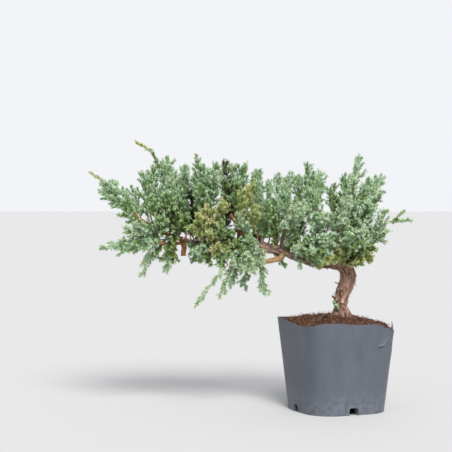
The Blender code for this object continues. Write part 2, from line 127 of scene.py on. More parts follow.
def paint(tree, shader, colour, roughness):
    """Gives the shader a colour and a roughness, each a value or a link."""
    feed(tree, shader.inputs["Base Color"], colour)
    feed(tree, shader.inputs["Roughness"], roughness)


def plain_material(name, colour, roughness):
    made, tree, shader = start_material(name)
    paint(tree, shader, (*colour, 1), roughness)
    return made


def add_bump(tree, shader, height, distance, strength=1.0):
    bump = add_node(tree, "ShaderNodeBump", Height=height, Distance=distance, Strength=strength)
    tree.links.new(bump.outputs["Normal"], shader.inputs["Normal"])


def start_group(name, kind, inputs, output):
    """A node group: its tree, the outputs of what it is given and the input of its one result."""
    tree = bpy.data.node_groups.new(name, kind)
    for label, what in inputs:
        tree.interface.new_socket(label, in_out="INPUT", socket_type="NodeSocket" + what)
    label, what = output
    tree.interface.new_socket(label, in_out="OUTPUT", socket_type="NodeSocket" + what)
    given = tree.nodes.new("NodeGroupInput").outputs
    return tree, given, tree.nodes.new("NodeGroupOutput").inputs[0]


print("scene:", scene.name)

# %% [markdown]
# ## Camera, floor and light
# The tree is seen almost level, from in front and a little to its left, through a long lens. The
# floor is a plain pale sheet. A wide soft lamp in front and a bright even surround give the soft
# shadows of a light tent, in which a matt grey pot still shows the turn of its corners.

# %% Camera
CAMERA_AT = Vector((-0.14, -1.63, 0.254))
CAMERA_DIP = math.radians(0.72)  # looks down by this much
LENS = 102.0

camera = put("camera", bpy.data.cameras.new("camera"))
camera.location = CAMERA_AT
camera.rotation_euler = (math.pi / 2 - CAMERA_DIP, 0, 0)
camera.data.lens = LENS
camera.data.sensor_width = 36.0
camera.data.clip_start = 0.05
scene.camera = camera
print("camera at", tuple(camera.location), "lens", camera.data.lens)

# %% Floor, surround and lamp
FLOOR_SIZE = 400.0
SKY_LIGHT, SKY_SEEN = 0.52, 0.93  # how bright the surround is as a lamp, and as it looks
SKY_AHEAD, SKY_SIDE_LOSS = 1.3, 1.2  # its share of that light in front, and what the sides lose
LAMP_LIGHT = 2.9
LAMP_SPREAD = math.radians(26)
LAMP_ROUND, LAMP_UP = math.radians(283), math.radians(42)
scene.view_settings.view_transform = "Standard"

floor_mesh = bpy.data.meshes.new("floor")
half = FLOOR_SIZE / 2
floor_corners = [(-half, -half, 0), (half, -half, 0), (half, half, 0), (-half, half, 0)]
floor_mesh.from_pydata(floor_corners, [], [(0, 1, 2, 3)])
floor_mesh.materials.append(plain_material("pale_floor", (0.74, 0.74, 0.75), 0.9))
floor = put("floor", floor_mesh)

# The surround gives less light from the left and right than from the front and above.
world = bpy.data.worlds.new("surround")
world.use_nodes = True
scene.world = world
tree = world.node_tree
way = add_node(tree, "ShaderNodeTexCoord").outputs["Generated"]
sideways = add_node(tree, "ShaderNodeSeparateXYZ", _0=way).outputs["X"]
squared = calculate(tree, "MULTIPLY", sideways, sideways)
dimmed = calculate(tree, "MULTIPLY_ADD", squared, -SKY_LIGHT * SKY_SIDE_LOSS, SKY_LIGHT * SKY_AHEAD)
seen = add_node(tree, "ShaderNodeLightPath").outputs["Is Camera Ray"]
bright = add_node(
    tree, "ShaderNodeMapRange", **{"Value": seen, "To Min": dimmed, "To Max": SKY_SEEN}
)
sky = tree.nodes["Background"]
sky.inputs["Color"].default_value = (0.96, 0.97, 1.0, 1)
feed(tree, sky.inputs["Strength"], bright.outputs[0])

lamp = put("soft_lamp", bpy.data.lights.new("soft_lamp", "SUN"))
lamp.data.energy = LAMP_LIGHT
lamp.data.angle = LAMP_SPREAD
lamp.data.color = (1.0, 0.985, 0.96)
level_part = math.cos(LAMP_UP)
towards = Vector((
    math.cos(LAMP_ROUND) * level_part, math.sin(LAMP_ROUND) * level_part, math.sin(LAMP_UP)
))
lamp.rotation_euler = towards.to_track_quat("Z", "Y").to_euler()
print("lamp shines from", [round(v, 2) for v in towards])

# %% [markdown]
# Plastic, bark, bare wood and compost are all a little uneven in colour. One node group gives that
# unevenness: noise on object coordinates, stretched by a Mapping node, with its contrast raised. It
# is built once and placed in each material with its own size and stretch.

# %% The mottle group
def make_mottle():
    inputs = (
        ("Scale", "Vector"), ("Size", "Float"), ("Detail", "Float"), ("From", "Float"),
        ("To", "Float"),
    )
    tree, given, result = start_group("mottle", "ShaderNodeTree", inputs, ("Mask", "Float"))
    place = add_node(tree, "ShaderNodeTexCoord").outputs["Object"]
    turned = add_node(tree, "ShaderNodeMapping", Vector=place, Scale=given["Scale"]).outputs[0]
    pattern = add_node(
        tree, "ShaderNodeTexNoise", Vector=turned, Scale=given["Size"], Detail=given["Detail"]
    ).outputs[0]
    spread = add_node(
        tree, "ShaderNodeMapRange",
        **{"Value": pattern, "From Min": given["From"], "From Max": given["To"]},
    )
    tree.links.new(spread.outputs[0], result)
    return tree


mottle_group = make_mottle()


def mottle(tree, size, stretch=(1, 1, 1), detail=3.0, low=0.35, high=0.65):
    """A place of the mottle group in a material."""
    return add_node(
        tree, "ShaderNodeGroup", {"node_tree": mottle_group},
        Scale=stretch, Size=size, Detail=detail, From=low, To=high,
    ).outputs["Mask"]


print("shader groups:", [g.name for g in bpy.data.node_groups])

# %% [markdown]
# Needles, coir fibres and crumbs are too small and too many to hold a pattern of their own. Each
# carries two numbers in its UV map: its tone, the same all over it, and how far along it a point
# is. The finish is a small palette read at those two numbers, so that thousands of needles differ
# and each still pales from base to tip. The map is named OFBake so that an export can keep it.

# %% The palette group
def make_palette():
    inputs = (("Near", "Color"), ("Far", "Color"), ("Along", "Float"))
    tree, given, result = start_group("palette", "ShaderNodeTree", inputs, ("Colour", "Color"))
    smooth = {"interpolation_type": "SMOOTHSTEP"}
    eased = add_node(tree, "ShaderNodeMapRange", smooth, Value=given["Along"]).outputs[0]
    tree.links.new(mix(tree, eased, given["Near"], given["Far"]), result)
    return tree


palette_group = make_palette()


def palette_material(name, stops, roughness):
    """A finish read at tone and along; each stop is a tone and its colours at base and tip."""
    made, tree, shader = start_material(name)
    chart = add_node(tree, "ShaderNodeUVMap", {"uv_map": "OFBake"})
    tone, along, _ = add_node(tree, "ShaderNodeSeparateXYZ", Vector=chart.outputs[0]).outputs
    near = ramp(tree, tone, [(place, colour) for place, colour, _ in stops])
    far = ramp(tree, tone, [(place, colour) for place, _, colour in stops])
    group = add_node(
        tree, "ShaderNodeGroup", {"node_tree": palette_group}, Near=near, Far=far, Along=along
    )
    paint(tree, shader, group.outputs["Colour"], roughness)
    return made


# Where each tone lies on the foliage palette. The two darkest are partly painted shade and partly
# the dark green of old inner growth.
DARK_OLD_AND_SHADE, DEEP_OLD_AND_SHADE, OLIVE, GREEN, BLUE = 0.04, 0.13, 0.23, 0.34, 0.47
PALE, YELLOW, STRAW, STEM = 0.61, 0.75, 0.86, 0.97
foliage_finish = palette_material(
    "juniper_needles",
    [
        (DARK_OLD_AND_SHADE, srgb(30, 44, 22), srgb(56, 78, 44)),
        (DEEP_OLD_AND_SHADE, srgb(52, 76, 36), srgb(104, 136, 78)),
        (OLIVE, srgb(102, 118, 46), srgb(172, 188, 104)),
        (GREEN, srgb(102, 142, 74), srgb(178, 214, 146)),
        (BLUE, srgb(118, 158, 116), srgb(198, 230, 188)),
        (PALE, srgb(160, 196, 158), srgb(232, 246, 226)),
        (YELLOW, srgb(112, 134, 34), srgb(184, 204, 92)),
        (STRAW, srgb(196, 190, 124), srgb(236, 234, 188)),
        (STEM, srgb(112, 76, 44), srgb(156, 116, 76)),
    ],
    0.6,
)
litter_finish = palette_material(
    "coir_and_litter",
    [
        (0.05, srgb(26, 15, 10), srgb(46, 28, 19)),
        (0.35, srgb(64, 38, 27), srgb(98, 62, 45)),
        (0.6, srgb(112, 76, 56), srgb(150, 108, 84)),
        (0.8, srgb(160, 128, 100), srgb(202, 170, 138)),
        (0.95, srgb(190, 170, 134), srgb(216, 200, 168)),
    ],
    0.9,
)
print("palettes:", foliage_finish.name, litter_finish.name)

# %% [markdown]
# ## Meshes
# Most pieces are either a skin over rings of points or a great many copies of one small shape. The
# skin helper closes both ends, so that the piece is solid; normals are made to point outwards once,
# when the mesh is finished.

# %% Mesh tools
BODY = "root"


def place_mesh(name, mesh, replaced=(), smooth=True, crease=None):
    """Puts a finished mesh into the scene as a piece; edges over crease degrees stay sharp."""
    if smooth:
        mesh.shade_smooth()
    if crease is not None:
        mesh.set_sharp_from_angle(angle=math.radians(crease))
    made = put(name, mesh)
    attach(made, BODY)
    if replaced:
        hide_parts(*replaced)
    print(f"{name}: {len(mesh.polygons)} faces")
    return made


def plain_mesh(name, bm, outward=False):
    """The bmesh as a mesh whose faces agree, or all look outwards."""
    bmesh.ops.recalc_face_normals(bm, faces=bm.faces)
    if outward and bm.calc_volume(signed=True) < 0:
        bmesh.ops.reverse_faces(bm, faces=bm.faces)
    mesh = bpy.data.meshes.new(name)
    bm.to_mesh(mesh)
    bm.free()
    return mesh


def mesh_of(name, bm, finish):
    """The bmesh as a closed piece's mesh with this finish."""
    mesh = plain_mesh(name, bm, outward=True)
    mesh.materials.append(finish)
    return mesh


def add_skin(bm, rings):
    """Adds a closed skin over rings of equal count, with a point in the middle of each end."""
    loops = [[bm.verts.new(point) for point in ring] for ring in rings]
    count = len(loops[0])
    for lower, upper in zip(loops, loops[1:]):
        for i in range(count):
            j = (i + 1) % count
            bm.faces.new((lower[i], lower[j], upper[j], upper[i]))
    for loop, turned in ((loops[0], True), (loops[-1], False)):
        middle = bm.verts.new(sum((v.co for v in loop), Vector()) / count)
        for i in range(count):
            a, b = loop[i], loop[(i + 1) % count]
            bm.faces.new((b, a, middle) if turned else (a, b, middle))
    return loops


def remove_helpers(*helpers):
    for helper in helpers:
        bpy.data.objects.remove(helper, do_unlink=True)


def spline(rows, steps):
    """A smooth run through rows of numbers or points, steps to each interval."""
    rows = [2 * rows[0] - rows[1], *rows, 2 * rows[-1] - rows[-2]]
    smooth = []
    for a, b, c, d in zip(rows, rows[1:], rows[2:], rows[3:]):
        for step in range(steps):
            t = step / steps
            smooth.append(
                (2 * b + (c - a) * t + (2 * a - 5 * b + 4 * c - d) * t * t
                 + (3 * b - a - 3 * c + d) * t**3) / 2
            )
    return [*smooth, rows[-2]]


def spline_rows(rows, steps):
    """Splines through the middles and through the radii of rows of middle and radius."""
    return spline([row[0] for row in rows], steps), spline([row[1] for row in rows], steps)


def tube_rings(path, radii, sides, relief=None):
    """Rings round a path, carried along it without twisting; relief(angle, along) moves a point."""
    rings, across, along = [], None, 0.0
    for i, (centre, radius) in enumerate(zip(path, radii)):
        ahead = (path[min(i + 1, len(path) - 1)] - path[max(i - 1, 0)]).normalized()
        across = ahead.orthogonal() if across is None else across
        across = (across - ahead * across.dot(ahead)).normalized()
        up = ahead.cross(across)
        if i:
            along += (centre - path[i - 1]).length
        ring = []
        for side in range(sides):
            angle = 2 * math.pi * side / sides
            out = across * math.cos(angle) + up * math.sin(angle)
            rise = relief(centre, out, angle, along, radius) if relief else 0.0
            ring.append(centre + out * (radius + rise))
        rings.append(ring)
    return rings

# %% [markdown]
# ## The pot
# A square plastic nursery pot whose walls flare a little, with broad rounded corners that are
# softer at the foot than at the rim. Somebody has cut it down by hand: the rim waves, and at the
# right-hand corner the cut has torn. The shape follows a rule, so the wall is a grid: each column
# runs from the floor up the inside, over the cut edge, down the outside and round the foot.

# %% Sizes of the pot
POT_TOP_SIDE, POT_TOP_CORNER = 0.122, 0.020
POT_BASE_SIDE, POT_BASE_CORNER = 0.1085, 0.035
POT_HEIGHT = 0.1135
POT_WALL = 0.0012
POT_TURN = math.radians(22)
FLOOR_UNDERSIDE, FLOOR_TOP = 0.008, 0.0095
FOOT_RADIUS = 0.014
TEAR_AT = math.radians(-23)
ARC_STEPS, FLAT_STEPS = 22, 34

# The hand-cut rim: degrees round the pot and millimetres above its mean height.
RIM_CUT = (
    (-39, -2.5), (-34, -6.0), (-23, -11.5), (-10, -10.5), (6, -7.0), (29, -4.6), (50, -4.0),
    (75, -2.6), (110, -1.0), (140, 1.0), (163, 2.4), (181, 0.6), (202, -1.9), (221, -3.3),
    (240, -2.3), (256, 1.5), (271, 1.3), (286, -1.0), (304, -1.1), (315, -1.0),
)


def angle_between(a, b):
    return (a - b + math.pi) % (2 * math.pi) - math.pi


def rim_height(angle):
    """Height of the hand-cut rim in this direction, eased between the rows of RIM_CUT."""
    degrees = (math.degrees(angle) - RIM_CUT[0][0]) % 360 + RIM_CUT[0][0]
    nicks = 0.25 * noise.noise(Vector((math.cos(angle), math.sin(angle), 0)) * 22)
    around = [*RIM_CUT, (RIM_CUT[0][0] + 360, RIM_CUT[0][1])]
    for (start, low), (end, high) in zip(around, around[1:]):
        if degrees <= end:
            t = (degrees - start) / (end - start)
            return POT_HEIGHT + (low + (high - low) * t * t * (3 - 2 * t) + nicks) / 1000
    return POT_HEIGHT


def outline(height, inset=0.0):
    """The pot's outline at a height, moved in by inset, as x and y."""
    share = height / POT_HEIGHT
    side = POT_BASE_SIDE + (POT_TOP_SIDE - POT_BASE_SIDE) * share - 2 * inset
    corner = POT_BASE_CORNER + (POT_TOP_CORNER - POT_BASE_CORNER) * share - inset
    reach = side / 2 - corner
    points = []
    for quarter in range(4):
        turn = Matrix.Rotation(POT_TURN + quarter * math.pi / 2, 2)
        for step in range(ARC_STEPS + 1):
            angle = step / ARC_STEPS * math.pi / 2
            points.append(turn @ Vector((
                reach + corner * math.cos(angle), reach + corner * math.sin(angle),
            )))
        for step in range(1, FLAT_STEPS):
            points.append(turn @ Vector((reach - 2 * reach * step / FLAT_STEPS, side / 2)))
    return points


rim_angles = [math.atan2(p.y, p.x) for p in outline(POT_HEIGHT)]
rim_heights = [rim_height(angle) for angle in rim_angles]
print("rim from %.1f to %.1f mm" % (min(rim_heights) * 1000, max(rim_heights) * 1000))

# %% [markdown]
# Moulded walls are never quite flat. Each point is moved in or out by a little: a slight hollow in
# the middle of each side, a small boss left by the mould's gate on the front, a thumbprint dent
# near the tear, and the torn corner itself pushed in behind the front panel. The movement is a
# function of place, so the inner and outer faces of the wall move together.

# %% Unevenness of the wall
FRONT = Vector((math.cos(POT_TURN - math.pi / 2), math.sin(POT_TURN - math.pi / 2)))
FRONT_ALONG = Vector((-FRONT.y, FRONT.x))  # to the right along the front panel
BOSS_AT, BOSS_SIZE, BOSS_RISE = (-0.018, 0.0934), (0.0068, 0.0045), 0.0007  # along and up the front
DENT_AT, DENT_RADIUS, DENT_DEPTH = (0.0235, 0.0780), 0.0014, 0.0011
DENT_RING, DENT_RING_WIDTH, DENT_RING_RISE = 0.0034, 0.0012, 0.00035
HOLLOW_DEPTH, WAVE_DEPTH = 0.0004, 0.00035
TEAR_WIDTH, TEAR_DEPTH, TEAR_FROM, TEAR_FADE = math.radians(11.5), 0.0008, 0.074, 0.018


def wall_offset(point, height):
    """How far the wall stands out of its plain shape at this place."""
    offset = -HOLLOW_DEPTH * math.sin(math.pi * min(height / POT_HEIGHT, 1.0))
    offset += WAVE_DEPTH * noise.noise(Vector((point.x, point.y, height)) * 28)
    if point.dot(FRONT) > 0.045:
        along = point.dot(FRONT_ALONG)
        boss = math.hypot(
            (along - BOSS_AT[0]) / BOSS_SIZE[0], (height - BOSS_AT[1]) / BOSS_SIZE[1]
        )
        offset += BOSS_RISE * max(0.0, 1 - boss**4) if boss < 1 else 0.0
        dent = math.hypot(along - DENT_AT[0], height - DENT_AT[1])
        offset -= DENT_DEPTH * math.exp(-((dent / DENT_RADIUS) ** 2))
        offset += DENT_RING_RISE * math.exp(-(((dent - DENT_RING) / DENT_RING_WIDTH) ** 2))
    corner = angle_between(math.atan2(point.y, point.x), TEAR_AT + math.radians(2.5))
    torn = math.exp(-((corner / TEAR_WIDTH) ** 2))
    fade = min(max((height - TEAR_FROM) / TEAR_FADE, 0.0), 1.0)
    return offset - TEAR_DEPTH * torn * fade * fade * (3 - 2 * fade)

# %% [markdown]
# An outline for every height of every column would be slow to make one by one, so outlines are
# made at a fixed number of heights and a column takes its point between the two nearest.

# %% The wall as a grid
LEVELS = 90
TABLE_TOP = POT_HEIGHT * 1.06  # the rim's highest place is a little above the mean height


def build_columns(inset):
    """A function that gives the point of a column at a height, on the wall moved in by inset."""
    table = [outline(TABLE_TOP * level / LEVELS, inset) for level in range(LEVELS + 1)]

    def at(column, height):
        place = min(max(height / TABLE_TOP * LEVELS, 0.0), LEVELS - 0.001)
        level = int(place)
        flat = table[level][column].lerp(table[level + 1][column], place - level)
        moved = flat + flat.normalized() * wall_offset(flat, height)
        return Vector((moved.x, moved.y, height))

    return at


outer_at = build_columns(0.0)
inner_at = build_columns(POT_WALL)
columns = range(len(rim_heights))
WALL_STEPS = 64


def edge_rings(start, end, heights):
    """Two rings that round an edge of the wall off, on the way from one face to the other."""
    return [
        [start(c, height).lerp(end(c, height), share) for c, height in zip(columns, heights)]
        for share in (0.3, 0.8)
    ]


def pot_rings():
    """Rings from the middle of the floor up the inside, over the rim and down to the foot."""
    rings = [[Vector((*(inner_at(c, FLOOR_TOP).xy * 0.97), FLOOR_TOP)) for c in columns]]
    for step in range(WALL_STEPS // 2 + 1):
        share = step / (WALL_STEPS // 2)
        rings.append([
            inner_at(c, FLOOR_TOP + (rim_heights[c] - 0.0002 - FLOOR_TOP) * share) for c in columns
        ])
    rings += edge_rings(inner_at, outer_at, rim_heights)
    for step in range(WALL_STEPS + 1):
        share = 1 - step / WALL_STEPS
        rings.append([outer_at(c, 0.0004 + (rim_heights[c] - 0.0007) * share) for c in columns])
    rings += edge_rings(outer_at, inner_at, [0.0] * len(columns))
    for height in (0.0005, FLOOR_UNDERSIDE):
        rings.append([inner_at(c, height) for c in columns])
    foot = [inner_at(c, 0.004).xy.normalized() * FOOT_RADIUS for c in columns]
    for height in (FLOOR_UNDERSIDE, 0.0):
        rings.append([Vector((*flat, height)) for flat in foot])
    return rings

# %% [markdown]
# ### Drain slots
# One arched notch in the foot of each side, cut with a Boolean, with a thick moulded lip round it.
# The cutter is a box with rounded upper corners.

# %% Drain slots and their lips
SLOT_WIDTH, SLOT_HEIGHT = 0.0125, 0.0125
SLOT_ASIDE = (0.0, 0.0, 0.0, -0.0036)  # how far each sits from the middle of its side
SLOT_REACH = 0.010
LIP_INNER, LIP_OUTER = (-0.0006, -0.0030), (0.0078, 0.0012)  # wider and taller than the slot
LIP_PROUD_NEAR, LIP_PROUD_FAR, LIP_DEPTH = 0.0016, 0.0007, 0.0068


def slot_arch(width, height, rounding=0.0028, steps=5):
    """The notch's outline from one foot over the top to the other: sideways and up."""
    points = [Vector((-width / 2, -0.001))]
    for centre, start in ((-1, math.pi), (1, math.pi / 2)):
        for step in range(steps + 1):
            angle = start - step / steps * math.pi / 2
            points.append(Vector((
                centre * (width / 2 - rounding) + rounding * math.cos(angle),
                height - rounding + rounding * math.sin(angle),
            )))
    return [*points, Vector((width / 2, -0.001))]


def slot_place(side, out, sideways, up):
    """A point given by how far out it is, how far sideways along this side, and how high."""
    turn = Matrix.Rotation(POT_TURN + side * math.pi / 2, 3, "Z")
    return turn @ Vector((out, sideways + SLOT_ASIDE[side], up))


def side_at(height):
    return (POT_BASE_SIDE + (POT_TOP_SIDE - POT_BASE_SIDE) * height / POT_HEIGHT) / 2


def make_slot_cutter(side):
    bm = bmesh.new()
    arch = slot_arch(SLOT_WIDTH, SLOT_HEIGHT)
    arch[0].y = arch[-1].y = -0.004
    add_skin(bm, [[slot_place(side, out, p.x, p.y) for p in arch]
                  for out in (side_at(0) - SLOT_REACH, side_at(0) + 0.004)])
    return put(f"slot_cutter_{side}", mesh_of("slot_cutter", bm, None))


def add_slot_lip(bm, side):
    """A square-edged band round the notch, thicker than the wall, that turns in under the floor."""
    inner = slot_arch(SLOT_WIDTH + LIP_INNER[0], SLOT_HEIGHT + LIP_INNER[1])
    outer = slot_arch(SLOT_WIDTH + LIP_OUTER[0], SLOT_HEIGHT + LIP_OUTER[1])
    depth = side_at(0) - LIP_DEPTH
    rings = []
    for a, b in zip(inner, outer):
        a, b = Vector((a.x, max(a.y, 0.0002))), Vector((b.x, max(b.y, 0.0002)))
        near, far = side_at(a.y) + LIP_PROUD_NEAR, side_at(b.y) + LIP_PROUD_FAR
        rings.append([
            slot_place(side, near, a.x, a.y), slot_place(side, far, b.x, b.y),
            slot_place(side, depth, b.x * 0.97, b.y), slot_place(side, depth, a.x, a.y),
        ])
    add_skin(bm, rings)


def tidy(bm):
    bmesh.ops.remove_doubles(bm, verts=bm.verts, dist=1e-6)

# %% [markdown]
# ### The pot's plastic
# Blue-grey polypropylene, matt but not dead: broad soft reflections, a faint mottle, small paler
# streaks of painted highlight, and a paler colour towards the foot.

# %% Pot plastic
plastic, tree, shader = start_material("blue_grey_plastic")
place = add_node(tree, "ShaderNodeTexCoord").outputs["Object"]
height = add_node(tree, "ShaderNodeSeparateXYZ", Vector=place).outputs[2]
body = mix(tree, mottle(tree, 45, (1, 1, 0.35)), srgb(86, 92, 102), srgb(94, 100, 110))
# Small paler streaks stretched up the wall: painted highlight.
body = mix(tree, mottle(tree, 320, (1, 1, 0.2), 5, 0.6, 0.85), body, srgb(104, 108, 116))
# The colour turns paler towards the foot.
low = add_node(
    tree, "ShaderNodeMapRange", Value=height, **{"From Min": 0.034, "From Max": 0.004}
).outputs[0]
paler_foot = calculate(tree, "MULTIPLY", low, mottle(tree, 160, high=0.8))
rough = add_node(
    tree, "ShaderNodeMapRange", Value=mottle(tree, 240), **{"To Min": 0.40, "To Max": 0.52}
).outputs[0]
paint(tree, shader, mix(tree, paler_foot, body, srgb(122, 127, 138)), rough)
shader.inputs["Specular IOR Level"].default_value = 0.45
add_bump(tree, shader, mottle(tree, 900, detail=2), 0.00004, 0.5)

# %% Make the pot
bm = bmesh.new()
add_skin(bm, pot_rings())
tidy(bm)
pot = put("pot_solid", mesh_of("pot_solid", bm, plastic))
cutters = [make_slot_cutter(side) for side in range(4)]
for cutter in cutters:
    notch = pot.modifiers.new("notch", "BOOLEAN")
    notch.operation = "DIFFERENCE"
    notch.solver = "EXACT"
    notch.object = cutter
graph = bpy.context.evaluated_depsgraph_get()
shell = bpy.data.meshes.new_from_object(pot.evaluated_get(graph))
remove_helpers(pot, *cutters)
shell.name = "pot_shell"
while len(shell.materials) > 1:
    shell.materials.pop(index=1)
place_mesh("pot_shell", shell, ["pot"], crease=35)

bm = bmesh.new()
for side in range(4):
    add_slot_lip(bm, side)
place_mesh("slot_lips", mesh_of("slot_lips", bm, plastic), crease=30)

# %% [markdown]
# ### The tear
# At the right-hand corner the front panel has come away from the corner and stands a little proud
# of it as a rounded tongue with a pale edge. It is its own sheet: its left side lies just inside
# the wall's face and its free side leaves it. A thin sliver of plastic stands up behind it.

# %% The torn tongue and the sliver
TONGUE_LEFT = 0.026  # along the front panel
TONGUE_EDGE = (
    (0.0843, 0.0300), (0.0850, 0.0330), (0.0862, 0.0362), (0.0897, 0.0392),
    (0.0935, 0.0418), (0.0981, 0.0435), (0.1030, 0.0432), (0.1075, 0.0418),
)  # height and place along the front panel, up its free edge
TONGUE_THICKNESS = 0.0011
ACROSS, UP = 16, 28
SLIVER_FOOT, SLIVER_HEIGHT = Vector((0.0692, -0.0200, 0.0985)), 0.0155


def tongue_at(share_up, share_out, lift):
    """A point of the tongue: up along its free edge, and out from inside the wall to that edge."""
    rows = TONGUE_EDGE
    place = share_up * (len(rows) - 1)
    row = min(int(place), len(rows) - 2)
    t = place - row
    height = rows[row][0] + (rows[row + 1][0] - rows[row][0]) * t
    edge = rows[row][1] + (rows[row + 1][1] - rows[row][1]) * t
    along = TONGUE_LEFT + (edge - TONGUE_LEFT) * share_out
    proud = -0.0006 + 0.0030 * share_out**1.6
    out = side_at(height) + proud + lift
    flat = FRONT * out + FRONT_ALONG * along
    return Vector((flat.x, flat.y, height))


bm = bmesh.new()
sheet_rings = []
for up in range(UP + 1):
    front_row = [tongue_at(up / UP, out / ACROSS, 0.0) for out in range(ACROSS + 1)]
    back_row = [
        tongue_at(up / UP, out / ACROSS, -TONGUE_THICKNESS) for out in range(ACROSS, -1, -1)
    ]
    sheet_rings.append(front_row + back_row)
add_skin(bm, sheet_rings)
place_mesh("torn_tongue", mesh_of("torn_tongue", bm, plastic), crease=40)

bm = bmesh.new()
sliver = []
for share, width, lean in (
    (0, 0.0022, 0), (0.3, 0.0013, 0.0002), (0.7, 0.0007, -0.0001), (1, 0.00025, -0.0005)
):
    centre = SLIVER_FOOT + Vector((lean, 0, SLIVER_HEIGHT * share))
    corners = ((-1, -1), (1, -1), (1, 1), (-1, 1))
    sliver.append([centre + Vector((x * width, y * 0.0006, 0)) for x, y in corners])
add_skin(bm, sliver)
place_mesh("rim_sliver", mesh_of("rim_sliver", bm, plastic))

# %% [markdown]
# ## The soil
# Coconut-fibre compost, heaped a little round the trunk and towards the high side of the rim, and
# lower where the rim is torn. The bed is a skin over rings that run from the wall in to the trunk,
# with noise for its clods. Crumbs and fibres are then strewn over it.

# %% Compost finish
compost, tree, shader = start_material("damp_compost")
body = mix(tree, mottle(tree, 420, detail=6), srgb(24, 15, 11), srgb(66, 42, 31))
body = mix(tree, mottle(tree, 1500, (1, 1, 1), 2, 0.6, 0.75), body, srgb(104, 72, 54))
paint(tree, shader, body, 0.95)
add_bump(tree, shader, mottle(tree, 1100, detail=4), 0.0006)

# %% The soil bed
SOIL_INSET = POT_WALL + 0.0002
SOIL_EDGE = POT_HEIGHT - 0.005
COLLAR_AT = Vector((0.008, 0.012))
HEAP_AT = Vector((-0.034, 0.024))
MOUND, HEAP, HEAP_RADIUS = 0.0092, 0.0062, 0.034  # heights at the trunk and at the high side
BED_STEPS = 74
CLEAR_RINGS = 13  # outer rings of the bed, on which nothing is strewn


def clods(x, y):
    """The uneven surface of the bed."""
    place = Vector((x, y, 0))
    coarse = noise.fractal(place * 95, 0.8, 2.1, 3)
    fine = noise.fractal(place * 420 + Vector((7, 3, 1)), 0.7, 2.2, 3)
    return 0.0017 * coarse + 0.0010 * fine


def soil_level(x, y):
    spot = Vector((x, y))
    mound = MOUND * math.exp(-((spot - COLLAR_AT).length / HEAP_RADIUS) ** 2)
    heap = HEAP * math.exp(-((spot - HEAP_AT).length / HEAP_RADIUS) ** 2)
    return SOIL_EDGE + mound + heap


soil_at = build_columns(SOIL_INSET)
soil_edges = [
    soil_at(c, min(soil_level(*soil_at(c, SOIL_EDGE).xy), rim_heights[c] - 0.0015))
    for c in columns
]
bed_floor = FLOOR_TOP + 0.0002
bed_rings = [[Vector((*(soil_at(c, bed_floor).xy * 0.98), bed_floor)) for c in columns]]
for step in range(9):
    bed_rings.append([
        soil_at(c, FLOOR_TOP + 0.001 + (soil_edges[c].z - 0.003 - FLOOR_TOP) * step / 8)
        for c in columns
    ])
for step in range(1, BED_STEPS + 1):
    share = 1 - step / (BED_STEPS + 2)
    ring = []
    for edge in soil_edges:
        flat = COLLAR_AT + (edge.xy - COLLAR_AT) * share
        settled = soil_level(*flat)
        blend = min((1 - share) / 0.14, 1.0)
        height = edge.z * (1 - blend) + settled * blend + clods(*flat)
        ring.append(Vector((flat.x, flat.y, height)))
    bed_rings.append(ring)
bm = bmesh.new()
add_skin(bm, bed_rings)
tidy(bm)
place_mesh("soil_bed", mesh_of("soil_bed", bm, compost), ["soil"])

# %% [markdown]
# ### Crumbs and fibres
# One Geometry Nodes tree strews a small shape over a surface: it scatters points, puts a copy on
# each with a random turn and size, gives each copy a random tone for the palette, and makes the
# copies real. The same tree makes crumbs, chips and fibres; only its inputs differ.

# %% Small shapes to strew and to leaf with
def marked_points(bm):
    """A function that adds points which know how far along and across their shape they are."""
    along_layer = bm.verts.layers.float.new("along")
    across_layer = bm.verts.layers.float.new("across")

    def add(point, along, across):
        vert = bm.verts.new(point)
        vert[along_layer], vert[across_layer] = along, across
        return vert

    return add


def small_shape(rings, ends, spread):
    """A closed sliver through rings of points, spread being how far across each point is."""
    bm = bmesh.new()
    add = marked_points(bm)
    first = add(ends[0], 0.0, 0.0)
    loops = [[add(p, along, across) for p, across in zip(ring, spread)] for along, ring in rings]
    last = add(ends[1], 1.0, 0.0)
    count = len(spread)
    for i in range(count):
        j = (i + 1) % count
        bm.faces.new((first, loops[0][j], loops[0][i]))
        for lower, upper in zip(loops, loops[1:]):
            bm.faces.new((lower[i], lower[j], upper[j], upper[i]))
        bm.faces.new((last, loops[-1][i], loops[-1][j]))
    return bm


def hidden_shape(name, bm):
    """An object for the trees to copy; it is taken away before the end."""
    return put(name, plain_mesh(name, bm))


def make_crumb(name, seed, flat):
    rnd = random.Random(seed)

    def jitter(x, y, z):
        return Vector((x, y, z * flat)) * rnd.uniform(0.75, 1.2)

    rings = []
    for along, height, angles in (
        (0.33, -0.15, (0, 1.6, 3.1, 4.7)), (0.66, 0.2, (0.3, 1.9, 3.5, 5.0))
    ):
        ring = [jitter(math.cos(a) * 0.45, math.sin(a) * 0.45, height) for a in angles]
        rings.append((along, ring))
    ends = (jitter(0, 0.05, -0.5), jitter(0.05, 0, 0.5))
    return hidden_shape(name, small_shape(rings, ends, (-1, 1, 0.6, -0.4)))


def make_fibre(name, seed):
    rnd = random.Random(seed)
    path, heading = [Vector((-0.5, 0, 0))], Vector((1, 0, rnd.uniform(-0.4, 0.4)))
    for _ in range(6):
        sway = Vector((0, rnd.uniform(-0.5, 0.5), rnd.uniform(-0.5, 0.5)))
        heading = (heading + sway).normalized()
        path.append(path[-1] + heading / 6)
    rings = []
    for i, point in enumerate(path[1:-1]):
        ring = [point + Vector((0, math.cos(a), math.sin(a))) * 0.028 for a in (0, 2.1, 4.2)]
        rings.append((0.15 + 0.7 * i / 4, ring))
    return hidden_shape(name, small_shape(rings, (path[0], path[-1]), (-1, 1, 0)))


crumb = make_crumb("crumb_shape", 3, 1.0)
chip = make_crumb("chip_shape", 8, 0.35)
fibre = make_fibre("fibre_shape", 5)
curly_fibre = make_fibre("curly_fibre_shape", 12)
print("shapes to strew:", [shape.name for shape in (crumb, chip, fibre, curly_fibre)])

